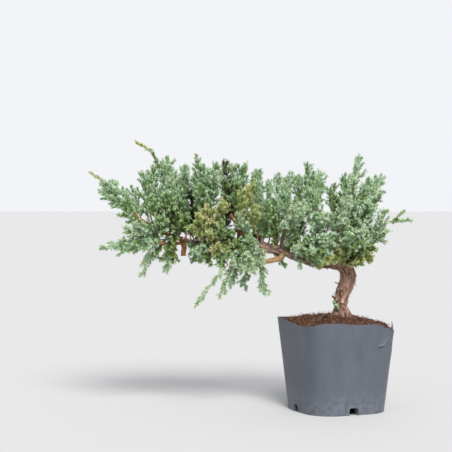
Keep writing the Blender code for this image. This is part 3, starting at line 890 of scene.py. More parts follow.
# %% Parts that both trees share
TONE_WIDTH = 0.012  # half the width that one small shape takes on the palette


def named(tree, name):
    """A number kept on the geometry under this name."""
    made = add_node(
        tree, "GeometryNodeInputNamedAttribute", {"data_type": "FLOAT"}, Name=name
    )
    return made.outputs[0]


def store(tree, geometry, name, value, kind, domain):
    """The geometry with a value kept under this name."""
    made = add_node(
        tree, "GeometryNodeStoreNamedAttribute", {"data_type": kind, "domain": domain},
        Geometry=geometry, Name=name,
    )
    tree.links.new(value, next(s for s in made.inputs if s.name == "Value" and s.enabled))
    return made.outputs[0]


def draw(tree, low, high, seed):
    """A random number between two others, new for each point."""
    made = add_node(
        tree, "FunctionNodeRandomValue", {"data_type": "FLOAT"}, _2=low, _3=high, Seed=seed
    )
    return made.outputs[1]


def set_copies(tree, points, shape, turn, size):
    """A copy of the shape on each point."""
    copied = add_node(tree, "GeometryNodeObjectInfo", Object=shape).outputs["Geometry"]
    made = add_node(
        tree, "GeometryNodeInstanceOnPoints",
        Points=points, Instance=copied, Rotation=turn, Scale=size,
    )
    return made.outputs[0]


def finish_copies(tree, copies, finish, result):
    """Makes the copies real, maps each to the palette by its tone and gives it its finish."""
    real = add_node(tree, "GeometryNodeRealizeInstances", Geometry=copies).outputs[0]
    across = calculate(tree, "MULTIPLY_ADD", named(tree, "across"), TONE_WIDTH, named(tree, "tone"))
    along = calculate(tree, "MULTIPLY_ADD", named(tree, "along"), 0.9, 0.05)
    pair = add_node(tree, "ShaderNodeCombineXYZ", X=across, Y=along).outputs[0]
    mapped = store(tree, real, "OFBake", pair, "FLOAT2", "CORNER")
    finished = add_node(tree, "GeometryNodeSetMaterial", Geometry=mapped, Material=finish)
    tree.links.new(finished.outputs[0], result)

# %% The strewing tree
def make_strewing():
    inputs = (
        ("Geometry", "Geometry"), ("Shape", "Object"), ("Per Square Metre", "Float"),
        ("Smallest", "Float"), ("Largest", "Float"), ("Tilt", "Float"), ("Darkest", "Float"),
        ("Palest", "Float"), ("Seed", "Int"), ("Finish", "Material"),
    )
    tree, given, result = start_group(
        "strewing", "GeometryNodeTree", inputs, ("Geometry", "Geometry")
    )
    seed = given["Seed"]
    points = add_node(
        tree, "GeometryNodeDistributePointsOnFaces",
        Mesh=given["Geometry"], Density=given["Per Square Metre"], Seed=seed,
    ).outputs["Points"]
    back = calculate(tree, "MULTIPLY", given["Tilt"], -1.0)
    low = add_node(tree, "ShaderNodeCombineXYZ", X=back, Y=back, Z=0.0).outputs[0]
    high = add_node(
        tree, "ShaderNodeCombineXYZ", X=given["Tilt"], Y=given["Tilt"], Z=2 * math.pi
    ).outputs[0]
    turn = add_node(
        tree, "FunctionNodeRandomValue", {"data_type": "FLOAT_VECTOR"}, _0=low, _1=high, Seed=seed
    ).outputs[0]
    size = draw(tree, given["Smallest"], given["Largest"], seed)
    tone = draw(tree, given["Darkest"], given["Palest"], seed)
    toned = store(tree, points, "tone", tone, "FLOAT", "POINT")
    copies = set_copies(tree, toned, given["Shape"], turn, size)
    finish_copies(tree, copies, given["Finish"], result)
    return tree


strewing = make_strewing()


def grown_mesh(name, host, tree, values):
    """The host object run through a tree with these inputs, as a plain mesh."""
    modifier = host.modifiers.new(tree.name, "NODES")
    modifier.node_group = tree
    inputs = [item for item in tree.interface.items_tree if item.in_out == "INPUT"]
    sockets = {item.name: item.identifier for item in inputs}
    for key, value in values.items():
        modifier[sockets[key]] = value
    graph = bpy.context.evaluated_depsgraph_get()
    mesh = bpy.data.meshes.new_from_object(host.evaluated_get(graph))
    host.modifiers.remove(modifier)
    mesh.name = name
    for attribute in ("along", "across", "tone", "size"):
        if attribute in mesh.attributes:
            mesh.attributes.remove(mesh.attributes[attribute])
    return mesh

# %% Strew the bed
open_rings = bed_rings[CLEAR_RINGS:]
round_bed = len(open_rings[0])
quads = []
for r in range(len(open_rings) - 1):
    for i in range(round_bed):
        here, there = r * round_bed, (i + 1) % round_bed
        quads.append((here + i, here + there, here + round_bed + there, here + round_bed + i))
top_mesh = bpy.data.meshes.new("bed_top")
top_mesh.from_pydata([point for ring in open_rings for point in ring], [], quads)
if top_mesh.polygons[0].normal.z < 0:
    top_mesh.flip_normals()
bed_top = put("bed_top", top_mesh)
STREWN = ("Shape", "Per Square Metre", "Smallest", "Largest", "Tilt", "Darkest", "Palest", "Seed")
for name, *values in (
    ("soil_crumbs", crumb, 520000.0, 0.0012, 0.0040, 3.0, 0.02, 0.43, 11),
    ("bark_chips", chip, 90000.0, 0.0028, 0.0062, 1.0, 0.03, 0.56, 23),
    ("coir_fibres", fibre, 95000.0, 0.0045, 0.0110, 0.8, 0.05, 0.68, 37),
    ("loose_fibres", curly_fibre, 30000.0, 0.0060, 0.0140, 1.2, 0.1, 0.86, 41),
):
    inputs = dict(zip(STREWN, values), Finish=litter_finish)
    place_mesh(name, grown_mesh(name, bed_top, strewing, inputs))
remove_helpers(bed_top)

# %% Hairs that stand up from the soil
hair_rnd = random.Random(9)
bm = bmesh.new()
for _ in range(64):
    edge = hair_rnd.choice(soil_edges)
    flat = COLLAR_AT + (edge.xy - COLLAR_AT) * hair_rnd.uniform(0.45, 0.99)
    point = Vector((*flat, min(soil_level(*flat), edge.z + 0.003) - 0.0015))
    sideways, deep = hair_rnd.uniform(-1, 1), hair_rnd.uniform(-1, 1)
    heading = Vector((sideways, deep, hair_rnd.uniform(0.5, 1.8))).normalized()
    path = [point]
    for _ in range(7):
        path.append(path[-1] + heading * hair_rnd.uniform(0.0008, 0.0019))
        turn = Vector((hair_rnd.gauss(0, 1), hair_rnd.gauss(0, 1), hair_rnd.gauss(-0.3, 1))) * 0.22
        heading = (heading + turn).normalized()
    add_skin(bm, tube_rings(path, [0.00038 - 0.00003 * i for i in range(8)], 5))
dry_hair = plain_material("dry_hair", srgb(128, 98, 74), 0.9)
place_mesh("soil_hairs", mesh_of("soil_hairs", bm, dry_hair))

# %% [markdown]
# ## The wood
# The trunk rises from the soil, bulges, bends and sets off to the left as one long limb, and the
# branches leave it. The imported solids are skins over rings, so the rings can be walked: start at an
# end cap and step from neighbour to neighbour. Their middles and radii give the path on which a
# much finer tube is built, with the bark's relief in its own mesh.

# %% Walk the rings of a wooden node
def ring_walk(node, ring_size, start):
    """Middle and radius of each ring of a node, from the cap whose corners start picks."""
    bm = bmesh.new()
    bm.from_mesh(nodes[node].data)
    bmesh.ops.remove_doubles(bm, verts=bm.verts, dist=1e-6)
    bm.verts.index_update()
    level = set(start(list(bm.verts))[:ring_size])
    seen, rings = set(level), []
    while len(level) == ring_size:
        # A set has no fixed order, and the order of a sum changes its last digits.
        ring = sorted(level, key=lambda v: v.index)
        middle = sum((v.co for v in ring), Vector()) / ring_size
        rings.append((middle, sum((v.co - middle).length for v in ring) / ring_size))
        level = {e.other_vert(v) for v in level for e in v.link_edges} - seen
        seen |= level
    bm.free()
    return rings


trunk_path = ring_walk("trunk", 14, lambda verts: sorted(verts, key=lambda v: v.co.z))


def nearest_on(path, point):
    """The nearest point of a path of rings, and its radius."""
    best = None
    for (a, ra), (b, rb) in zip(path, path[1:]):
        along = b - a
        t = min(max((point - a).dot(along) / along.length_squared, 0.0), 1.0)
        spot = a + along * t
        if best is None or (spot - point).length < (best[0] - point).length:
            best = (spot, ra + (rb - ra) * t)
    return best


wood_paths = {"trunk": trunk_path}


def branch_path(node):
    """A side branch from inside its parent wood out to its tip."""

    def away_from(path, point):
        return (nearest_on(path, point)[0] - point).length

    corners = [v.co for v in nodes[node].data.vertices]
    foot = min(corners, key=lambda c: min(away_from(p, c) for p in wood_paths.values())).copy()
    rings = ring_walk(node, 8, lambda verts: sorted(verts, key=lambda v: -(v.co - foot).length))
    rings.reverse()
    first, radius = rings[0]
    parent = min(wood_paths.values(), key=lambda p: away_from(p, first))
    spot = nearest_on(parent, first)[0]
    return [(spot, radius * 1.15), *rings] if (spot - first).length > radius else rings


for name in [*branches, "cut_stub", "deadwood"]:
    wood_paths[name] = branch_path(name)
print({name: len(path) for name, path in wood_paths.items()})

# %% [markdown]
# ### Bark relief
# Old juniper bark peels in long flat strips. Three layers of relief make it: slow lumps, ridges
# that run along the wood, and terraces, which are noise rounded down to a few steps, so that each
# step has the sharp edge of a lifting flake. How deep a point lies is kept as an attribute, and the
# finish paints shade into the crevices with it, and light onto the raised flakes.

# %% Bark relief
def bark_height(out, centre, angle, along, radius, rough, shift):
    """Height of the bark here as a share of its full depth, from 0 to about 1."""
    around = Vector((math.cos(angle), math.sin(angle), 0)) * radius

    def place(round_scale, along_scale, move):
        return Vector((around.x * round_scale, around.y * round_scale, along * along_scale + move))

    ridges = 1 - abs(noise.noise(place(520, 95, shift))) * 2
    slow = noise.fractal(place(210, 60, shift), 0.8, 2.1, 3)
    flakes = math.floor((noise.noise(place(330, 120, -shift)) + 1) * 3.2) / 6
    fine = noise.noise(centre * 900 + out * radius * 900)
    return 0.30 * ridges + 0.25 * slow + 0.45 * flakes * rough + 0.12 * fine


def bark_tube(name, rows, sides, step, depth, lumps, rough, shift, finish):
    """A closed tube along rows of middle and radius, with bark in its mesh."""
    middles, radii = spline_rows(rows, 8)
    path, sizes, gone = [middles[0]], [radii[0]], 0.0
    for a, b, ra, rb in zip(middles, middles[1:], radii, radii[1:]):
        length = (b - a).length
        while gone + step <= length:
            gone += step
            path.append(a.lerp(b, gone / length))
            sizes.append(ra + (rb - ra) * gone / length)
        gone -= length
    heights = []

    def relief(centre, out, angle, along, radius):
        share = bark_height(out, centre, angle, along, radius, rough, shift)
        swell = noise.noise(centre * 75 + out * 0.9 + Vector((shift, 0, 0)))
        heights.append(share)
        return depth * (share - 0.35) + lumps * radius * swell

    bm = bmesh.new()
    add_skin(bm, tube_rings(path, sizes, sides, relief))
    layer = bm.verts.layers.float.new("bark")
    for vert, share in zip(bm.verts, heights + [0.4, 0.4]):
        vert[layer] = share
    return mesh_of(name, bm, finish)

# %% [markdown]
# ### Bark finishes
# The trunk is reddish brown, with a greyer painted highlight on its raised flakes and painted shade,
# nearly black, in its cracks. The limb is a smoother purplish brown above. Younger branches are
# orange-brown. All read the bark attribute.

# %% Bark finishes
def bark_material(name, crack_shade, body, lit, grey, patch_size):
    made, tree, shader = start_material(name)
    depth = add_node(tree, "ShaderNodeAttribute", {"attribute_name": "bark"}).outputs["Fac"]
    # Painted shade in the cracks and painted highlight on the raised flakes, read from the bark
    # attribute.
    tone = ramp(tree, depth, [(0.08, crack_shade), (0.34, body), (0.72, lit)])
    tone = mix(tree, mottle(tree, patch_size, (1, 1, 0.5), 4, 0.45, 0.75), tone, grey)
    strands = mottle(tree, 1300, (1, 1, 0.22), 3, 0.3, 0.7)
    tone = mix(tree, strands, tone, mix(tree, 0.55, tone, body), "MULTIPLY")
    # Once more painted shade in the cracks and painted highlight on the raised flakes.
    paint(tree, shader, mix(tree, 0.7, tone, mix(tree, depth, crack_shade, lit)), 0.85)
    add_bump(tree, shader, strands, 0.0003, 0.6)
    return made


# The colours are those of the painted shade in the cracks, the body, the painted highlight on the lit
# flakes and the grey patches.
old_bark = bark_material(
    "old_bark", srgb(58, 36, 25), srgb(162, 114, 90), srgb(222, 184, 162), srgb(182, 150, 128), 160
)
limb_bark = bark_material(
    "limb_bark", srgb(46, 32, 26), srgb(128, 96, 84), srgb(182, 154, 142), srgb(146, 122, 92), 120
)
orange_bark = bark_material(
    "orange_bark", srgb(88, 50, 26), srgb(178, 112, 70), srgb(214, 156, 110),
    srgb(150, 108, 76), 200,
)
twig_bark = bark_material(
    "twig_bark", srgb(52, 36, 22), srgb(122, 92, 62), srgb(164, 134, 96), srgb(112, 104, 66), 200
)

# %% Trunk and limb
FLARE, FLARE_HEIGHT = 0.30, 0.014  # how much wider the trunk's foot is, and up to where
LIMB_FROM = -0.004  # left of here the bark is the limb's
collar = soil_level(*COLLAR_AT)


def flare(height):
    near_soil = min(max((collar + FLARE_HEIGHT - height) / FLARE_HEIGHT, 0.0), 1.0)
    return 1 + FLARE * near_soil**2


flared = [(middle, radius * flare(middle.z)) for middle, radius in trunk_path]
trunk_mesh = bark_tube("trunk_bark", flared, 64, 0.0007, 0.0026, 0.12, 1.0, 3.1, old_bark)
trunk_mesh.materials.append(limb_bark)
for face in trunk_mesh.polygons:
    if face.center.x + 0.004 * noise.noise(face.center * 260) < LIMB_FROM:
        face.material_index = 1
place_mesh("trunk_bark", trunk_mesh, ["trunk"])

# %% Side branches
ORANGE_BRANCHES = ("branch_far_left", "branch_lower_left", "branch_middle")
for number, name in enumerate(branches):
    finish = orange_bark if name in ORANGE_BRANCHES else twig_bark
    rows = [(middle, radius * 0.86) for middle, radius in wood_paths[name]]
    mesh = bark_tube(name + "_bark", rows, 20, 0.0009, 0.0009, 0.14, 0.8, 5.0 * number, finish)
    place_mesh(name + "_bark", mesh, [name])

# %% [markdown]
# ### Cut stub and deadwood
# The stub was sawn off and shows pale wood at its end. The deadwood is a torn strip whose bark has
# gone: pale, grey-gold and fibrous, with splinters at its tip.

# %% Bare wood
bare_wood, tree, shader = start_material("bare_wood")
grain = mottle(tree, 900, (0.25, 1, 1), 4, 0.3, 0.7)
body = mix(tree, grain, srgb(150, 112, 70), srgb(206, 178, 132))
body = mix(tree, mottle(tree, 150, (0.5, 1, 1), 3, 0.5, 0.8), body, srgb(172, 112, 66))
paint(tree, shader, body, 0.8)
add_bump(tree, shader, grain, 0.0005)

# %% Cut stub
stub_path = wood_paths["cut_stub"]
stub_mesh = bark_tube("cut_stub_bark", stub_path, 22, 0.0008, 0.0008, 0.12, 0.8, 77.0, orange_bark)
stub_mesh.materials.append(bare_wood)
stub_end = stub_path[-1][0]
stub_way = (stub_end - stub_path[-2][0]).normalized()
for face in stub_mesh.polygons:
    if (face.center - stub_end).dot(stub_way) > -0.0006:
        face.material_index = 1
place_mesh("cut_stub_bark", stub_mesh, ["cut_stub"])

# %% Deadwood
STRANDS = 13
splinters = random.Random(4)
bm = bmesh.new()
strip = wood_paths["deadwood"]
for strand in range(STRANDS):
    shift = Vector([splinters.uniform(-1, 1) for _ in range(3)]) * 0.0030
    last = splinters.uniform(0.72, 1.12)
    rows = []
    for i, (middle, radius) in enumerate(strip):
        spread = shift * (0.7 + 0.5 * i / len(strip))
        rows.append((middle + spread, radius * splinters.uniform(0.42, 0.62)))
    middles, radii = spline_rows(rows, 5)
    keep = max(6, min(int(len(middles) * last), len(middles)))
    taper = [r * min(1.0, (keep - i) / 9) + 0.0001 for i, r in enumerate(radii[:keep])]

    def strand_relief(centre, out, angle, along, radius):
        place = Vector((math.cos(angle) * 1.5, math.sin(angle) * 1.5, along * 160 + strand))
        return 0.3 * radius * noise.noise(place)

    add_skin(bm, tube_rings(middles[:keep], taper, 9, strand_relief))
deadwood_mesh = mesh_of("deadwood_strip", bm, bare_wood)
place_mesh("deadwood_strip", deadwood_mesh, ["deadwood"])

# %% Surface root
root_rows = ring_walk("surface_root", 6, lambda verts: sorted(verts, key=lambda v: v.co.x))
root_mesh = bark_tube(
    "surface_root_bark", root_rows, 14, 0.0006, 0.0004, 0.25, 0.8, 21.0, limb_bark
)
place_mesh("surface_root_bark", root_mesh, ["surface_root"])

# %% [markdown]
# ### Roots, flakes and scars
# Stout roots spread from the foot of the trunk into the soil. Loose flakes of bark stand off the
# trunk and limb, each a thin closed strip whose upper end has lifted. A pale round scar, a snag
# and a dry twig mark where shoots were cut away.

# %% Root flare
# Degrees round the trunk, reach and radius of each root.
ROOTS = (
    (200, 0.020, 0.0040), (262, 0.017, 0.0036), (318, 0.021, 0.0042),
    (12, 0.018, 0.0034), (80, 0.018, 0.0036), (140, 0.019, 0.0036),
)
foot = Vector((COLLAR_AT.x, COLLAR_AT.y, collar))
for number, (degrees, reach, radius) in enumerate(ROOTS):
    away = Vector((math.cos(math.radians(degrees)), math.sin(math.radians(degrees)), 0))
    # How far out and up each row is, and its share of the root's radius.
    course = (
        (0.0035, 0.0125, 0.75), (0.0075, 0.0050, 1), (0.0115, -0.0005, 0.85), (reach, -0.0060, 0.5)
    )
    rows = [
        (foot + away * out + Vector((0, 0, up)), radius * share) for out, up, share in course
    ]
    name = f"root_{number + 1}"
    mesh = bark_tube(name, rows, 22, 0.0007, 0.0014, 0.2, 1.0, 11.0 * number, old_bark)
    place_mesh(name, mesh)

# %% Loose flakes of bark
FLAKES = 420
peel = random.Random(12)
bm = bmesh.new()
trunk_line, trunk_radii = spline_rows(trunk_path, 8)
for _ in range(FLAKES):
    i = int(peel.random() ** 1.25 * (len(trunk_line) - 6)) + 2
    centre, radius = trunk_line[i], trunk_radii[i]
    if centre.z < collar + 0.004:
        continue
    ahead = (trunk_line[i + 1] - trunk_line[i - 1]).normalized()
    out = Matrix.Rotation(peel.uniform(0, 2 * math.pi), 3, ahead) @ ahead.orthogonal().normalized()
    side = ahead.cross(out)
    way = (ahead * peel.choice((1, 1, -1)) + side * peel.uniform(-0.35, 0.35)).normalized()
    across = way.cross(out).normalized()
    length, width = peel.uniform(0.0040, 0.0115), peel.uniform(0.0007, 0.0019)
    lift = peel.uniform(0.0004, 0.0021)
    rings = []
    for t in (0.0, 0.35, 0.7, 1.0):
        stand = radius * 0.97 + 0.0002 + lift * t * t * 1.6
        middle = centre + out * stand + way * length * (t - 0.3)
        half = width * (0.7 + 0.5 * t - 0.75 * t * t)
        rings.append([
            middle + across * half, middle + out * 0.00035,
            middle - across * half, middle - out * 0.0002,
        ])
    add_skin(bm, rings)
layer = bm.verts.layers.float.new("bark")
for vert in bm.verts:
    vert[layer] = 0.5 + 0.5 * noise.noise(vert.co * 420)
place_mesh("bark_flakes", mesh_of("bark_flakes", bm, old_bark), smooth=False)

# %% Scar, snag and dry twig
scar_at, scar_radius = nearest_on(trunk_path, Vector((0.0140, 0.006, 0.1352)))
face_out = Vector((0.10, -1, 0.08)).normalized()
up_side = Vector((0, 0, 1)) - face_out * face_out.z
up_side.normalize()
right_side = face_out.cross(up_side)
rings = []
for out, size in (
    (-0.004, 0.0025), (0.0004, 0.0026), (0.0009, 0.0021), (0.0006, 0.0017), (0.0005, 0.0005)
):
    centre = scar_at + face_out * (scar_radius + 0.0026 + out)
    angles = [2 * math.pi * i / 20 for i in range(20)]
    rings.append([
        centre + (right_side * math.cos(a) * 0.85 + up_side * math.sin(a) * 1.1) * size
        for a in angles
    ])
bm = bmesh.new()
add_skin(bm, rings)
scar_wood = plain_material("scar_wood", srgb(204, 172, 144), 0.8)
place_mesh("pruning_scar", mesh_of("pruning_scar", bm, scar_wood))
for name, target, rise, reach, radius in (
    ("snag", 0.1402, 0.0022, 0.0052, 0.0016), ("dry_twig", 0.1600, 0.0030, 0.0070, 0.0007)
):
    at, thick = nearest_on(trunk_path, Vector((0.012, 0.008, target)))
    away = Vector((-0.9, -0.35, 0)).normalized()
    rows = [
        (at + away * thick * 0.5, radius * 1.3),
        (at + away * (thick + reach * 0.4) + Vector((0, 0, rise * 0.4)), radius),
        (at + away * (thick + reach) + Vector((0, 0, rise)), radius * 0.8),
    ]
    mesh = bark_tube(name, rows, 12, 0.0006, 0.0005, 0.15, 0.8, 31.0, old_bark)
    place_mesh(name, mesh)

# %% [markdown]
# ## The foliage
# A creeping juniper has no flat leaves. Each spray is a plume: a leader, side shoots that leave it
# at a slant and turn forwards, and on all of them short shoots set close together, every one
# clothed in sharp little needles in threes. So a plume is grown twice over: first its shoots, as
# plain lines made in code; then a Geometry Nodes tree walks each line at even steps and sets a
# whorl of three needles at each step, turned a little further every time.

# %% A whorl of three needles
NEEDLE_SLANT = math.radians(40)


def make_whorl():
    """Three needles on a unit shoot; each is a closed wedge of four faces."""
    bm = bmesh.new()
    add = marked_points(bm)
    ahead = Vector((math.sin(NEEDLE_SLANT), 0, math.cos(NEEDLE_SLANT)))
    above = Vector((-math.cos(NEEDLE_SLANT), 0, math.sin(NEEDLE_SLANT)))
    side = Vector((0, 1, 0))
    for leaf in range(3):
        turn = Matrix.Rotation(leaf * 2 * math.pi / 3, 3, "Z")
        # Each corner: forwards, sideways, upwards, and how far along and across the needle.
        foot, left, right, tip = (
            add(turn @ (ahead * forward + side * sideways + above * upwards), along, across)
            for forward, sideways, upwards, along, across in (
                (0.0, 0.0, 0.0, 0.0, 0.0), (0.42, 0.19, 0.09, 0.5, 1.0),
                (0.42, -0.19, 0.09, 0.5, -1.0), (1.0, 0.0, 0.02, 1.0, 0.3),
            )
        )
        wedge = (foot, left, right), (tip, right, left), (foot, tip, left), (foot, right, tip)
        for corners in wedge:
            bm.faces.new(corners)
    return bm


whorl = hidden_shape("needle_whorl", make_whorl())
print("whorl:", len(whorl.data.polygons), "faces")

# %% The leafing tree
def make_leafing():
    inputs = (
        ("Geometry", "Geometry"), ("Whorl", "Object"), ("Stems", "Object"), ("Step", "Float"),
        ("Needle Length", "Float"), ("Turn per Step", "Float"), ("Variation", "Float"),
        ("Seed", "Int"), ("Finish", "Material"),
    )
    tree, given, result = start_group(
        "leafing", "GeometryNodeTree", inputs, ("Geometry", "Geometry")
    )
    lines = add_node(tree, "GeometryNodeMeshToCurve", Mesh=given["Geometry"]).outputs[0]
    even = add_node(tree, "GeometryNodeResampleCurve", {"mode": "LENGTH"}, Curve=lines)
    tree.links.new(given["Step"], next(s for s in even.inputs if s.name == "Length"))
    tangent = add_node(tree, "GeometryNodeInputTangent").outputs[0]
    upright = add_node(tree, "FunctionNodeAlignRotationToVector", {"axis": "Z"}, Vector=tangent)
    index = add_node(tree, "GeometryNodeInputIndex").outputs[0]
    turned = calculate(tree, "MULTIPLY", index, given["Turn per Step"])
    spin = add_node(tree, "FunctionNodeAxisAngleToRotation", Axis=(0, 0, 1), Angle=turned)
    both = add_node(
        tree, "FunctionNodeRotateRotation", {"rotation_space": "LOCAL"},
        _0=upright.outputs[0], _1=spin.outputs[0],
    )
    less = calculate(tree, "SUBTRACT", 1.0, given["Variation"])
    more = calculate(tree, "ADD", 1.0, given["Variation"])
    vary = draw(tree, less, more, given["Seed"])
    size = calculate(tree, "MULTIPLY", named(tree, "size"), vary)
    size = calculate(tree, "MULTIPLY", size, given["Needle Length"])
    copies = set_copies(tree, even.outputs[0], given["Whorl"], both.outputs[0], size)
    stems = add_node(tree, "GeometryNodeObjectInfo", Object=given["Stems"])
    joined = tree.nodes.new("GeometryNodeJoinGeometry")
    tree.links.new(copies, joined.inputs[0])
    tree.links.new(stems.outputs["Geometry"], joined.inputs[0])
    finish_copies(tree, joined.outputs[0], given["Finish"], result)
    return tree


leafing = make_leafing()

# %% [markdown]
# ### Growing the shoots of one plume
# A shoot starts along one direction and turns steadily towards another. The leader follows the
# spray's own line. Side shoots leave it on alternate sides, more slanted low down, and reach less
# far the higher they start, so that the plume narrows to its tip. Short shoots clothe them all, and
# each has a tone of its own: dark or yellowish inside the plume, where the dark is partly painted
# shade and partly old growth, paler and bluer outside.

# %% Shoots
SWAY = 0.06  # how unsteadily a shoot grows
LEADER_STEP, SIDE_SPACING, SHORT_SPACING = 0.003, 0.0053, 0.0034
LONGEST_SHORT = 0.0105
# A tone stays within these, so that old, yellowish growth keeps to its side of the palette.
YELLOW_LIMITS, GREEN_LIMITS = (0.71, 0.90), (0.03, 0.66)


def bend_shoot(start, heading, towards, turning, length, rnd, step=0.0028):
    """Points along a shoot that turns from heading towards another direction."""
    steps = max(2, round(length / step))
    points, heading = [start.copy()], heading.normalized()
    for _ in range(steps):
        sway = Vector((rnd.gauss(0, 1), rnd.gauss(0, 1), rnd.gauss(0, 1))) * SWAY
        heading = (heading + towards * (turning / steps) + sway).normalized()
        points.append(points[-1] + heading * (length / steps))
    return points


class Plume:
    """The shoots of one spray: lists of points with a needle size and a tone for each."""

    def __init__(self, base, tip, width, tone, seed):
        self.rnd = rnd = random.Random(seed)
        self.shoots, self.stems = [], []
        self.tone = tone
        self.limits = YELLOW_LIMITS if tone > 0.68 else GREEN_LIMITS
        along = tip - base
        length = along.length
        along = along.normalized()
        across = along.cross(Vector((0, 0, 1)))
        across = across.normalized() if across.length > 0.2 else Vector((1, 0, 0))
        across = Matrix.Rotation(rnd.uniform(-0.6, 0.6), 3, along) @ across
        depth = along.cross(across)
        control = base.lerp(tip, 0.5) + across * rnd.uniform(-0.07, 0.07) * length
        steps = max(8, round(length / LEADER_STEP))
        leader = []
        for step in range(steps + 1):
            t = step / steps
            leader.append(base * (1 - t) ** 2 + control * 2 * t * (1 - t) + tip * t * t)
        self.clothe(leader, 0.16, 1.0, -0.06, width)
        self.stems.append((leader, min(0.0010, width * 0.09), 0.00025))
        count = round(length / SIDE_SPACING)
        for i in range(count):
            share = 0.08 + 0.82 * (i + rnd.uniform(0.1, 0.9)) / count
            at = leader[min(int(share * steps), steps - 1)]
            angle = math.pi * (i % 2) + rnd.gauss(0, 0.9)
            out = across * math.cos(angle) + depth * math.sin(angle)
            slant = math.radians(rnd.uniform(36, 62) - 16 * share)
            heading = along * math.cos(slant) + out * math.sin(slant)
            reach = length * (1 - share) * rnd.uniform(0.45, 0.85) + 0.003
            reach = min(reach, width * rnd.uniform(0.9, 1.7))
            side_shoot = bend_shoot(at, heading, along, 0.7, reach, rnd)
            # Side shoots low in the plume take a darker tone: partly painted shade, partly old
            # growth.
            self.clothe(side_shoot, 0.15, 0.95, -0.08 + 0.12 * share, width)
            self.stems.append((side_shoot, 0.0006, 0.0002))

    def keep(self, tone):
        """The tone, held to this plume's side of the palette."""
        return min(max(tone, self.limits[0]), self.limits[1])

    def clothe(self, line, bare, size, shift, width):
        """Needles along a shoot, and short shoots up both its sides."""
        rnd = self.rnd
        last = len(line) - 1
        tone = self.tone + shift + rnd.gauss(0, 0.03)
        first = int(bare * last)
        ladder = range(first, last + 1)
        self.shoots.append((line[first:], [size * (1 - 0.3 * i / last) for i in ladder],
                            [self.keep(tone + 0.14 * (i / last) ** 2) for i in ladder]))
        total = sum((b - a).length for a, b in zip(line, line[1:]))
        count = round(total * (1 - bare) / SHORT_SPACING)
        most = min(width * 0.75, LONGEST_SHORT)
        for i in range(count):
            share = bare + (0.97 - bare) * (i + 0.5) / max(count, 1)
            place = share * last
            low = min(int(place), last - 1)
            at = line[low].lerp(line[low + 1], place - low)
            ahead = (line[low + 1] - line[low]).normalized()
            out = ahead.orthogonal().normalized()
            out = Matrix.Rotation(math.pi * i + rnd.gauss(0, 1.1) + 0.7, 3, ahead) @ out
            slant = math.radians(rnd.uniform(34, 62))
            heading = ahead * math.cos(slant) + out * math.sin(slant)
            length = most * (0.34 + 0.66 * (1 - share)) * rnd.uniform(0.55, 1.2)
            points = bend_shoot(at, heading, ahead, 0.45, length, rnd, 0.003)
            ends = len(points) - 1
            own = tone + rnd.gauss(0, 0.10)
            steps = range(ends + 1)
            # Each short shoot is darker at its foot, inside the plume: partly painted shade, partly
            # old growth.
            self.shoots.append((points, [size * (1.0 - 0.3 * j / ends) for j in steps],
                                [self.keep(own - 0.11 + 0.20 * j / ends) for j in steps]))

# %% [markdown]
# ### What differs from plume to plume
# The tone runs from the dark inner sprays, whose dark is partly painted shade and partly old growth,
# through blue-green to the yellow-green of old growth. The width is the spread of the side shoots.
# Each packed spray gives its own base and tip: the two ends of its longest line, the base being the
# end nearer the wood. Between them grow fill-in plumes of the same kind, so that the foliage closes
# into one cloud with only a few gaps of light.

# %% Ends of each spray
def spray_ends(node):
    corners = [v.co.copy() for v in nodes[node].data.vertices]
    far = max(corners, key=lambda c: (c - corners[0]).length)
    other = max(corners, key=lambda c: (c - far).length)
    wood = [spot for path in wood_paths.values() for spot, _ in path]
    near = sorted((far, other), key=lambda c: min((spot - c).length for spot in wood))
    line = (near[1] - near[0]).normalized()
    base = [c for c in corners if (c - near[0]).dot(line) < 0.004]
    tip = [c for c in corners if (near[1] - c).dot(line) < 0.002]
    return sum(base, Vector()) / len(base), sum(tip, Vector()) / len(tip)

# The tone and width of each packed spray, and how much of its line it clothes, in number order.
PLUMES = {
    "far_left": [
        (BLUE, 0.014, 0.80),
    ],
    "left": [
        (GREEN, 0.013, 0.66), (BLUE, 0.015, 0.96), (BLUE, 0.014, 0.98), (BLUE, 0.013, 0.96),
        (GREEN, 0.015, 0.96),
    ],
    "lower_left": [
        (BLUE, 0.013, 0.98), (PALE, 0.010, 0.96), (BLUE, 0.009, 0.96),
    ],
    # The sprays at the back get the darkest tones: painted shade.
    "back": [
        (DARK_OLD_AND_SHADE, 0.013, 0.96), (DARK_OLD_AND_SHADE, 0.014, 0.96),
    ],
    "inner": [
        (BLUE, 0.014, 0.94), (BLUE, 0.014, 0.96), (YELLOW, 0.015, 0.96),
    ],
    "middle": [
        (DEEP_OLD_AND_SHADE, 0.014, 0.94), (BLUE, 0.014, 0.96), (YELLOW, 0.014, 0.96), (BLUE, 0.015, 0.96),
    ],
    "limb": [
        (BLUE, 0.015, 0.98), (GREEN, 0.014, 0.96), (BLUE, 0.015, 0.96), (PALE, 0.014, 0.96),
        (BLUE, 0.013, 0.96), (BLUE, 0.014, 0.96), (BLUE, 0.015, 0.96), (PALE, 0.015, 0.96),
    ],
    "hanging": [
        (PALE, 0.006, 0.98), (PALE, 0.013, 0.96), (BLUE, 0.010, 0.96), (BLUE, 0.010, 0.96),
        (OLIVE, 0.012, 0.96),
    ],
    "crown": [
        (GREEN, 0.014, 0.94), (BLUE, 0.014, 0.96), (BLUE, 0.012, 0.98), (BLUE, 0.014, 0.96),
        (PALE, 0.014, 0.96), (GREEN, 0.0032, 0.96), (YELLOW, 0.008, 0.96), (PALE, 0.016, 0.96),
        (BLUE, 0.015, 0.96), (YELLOW, 0.011, 0.96),
    ],
}

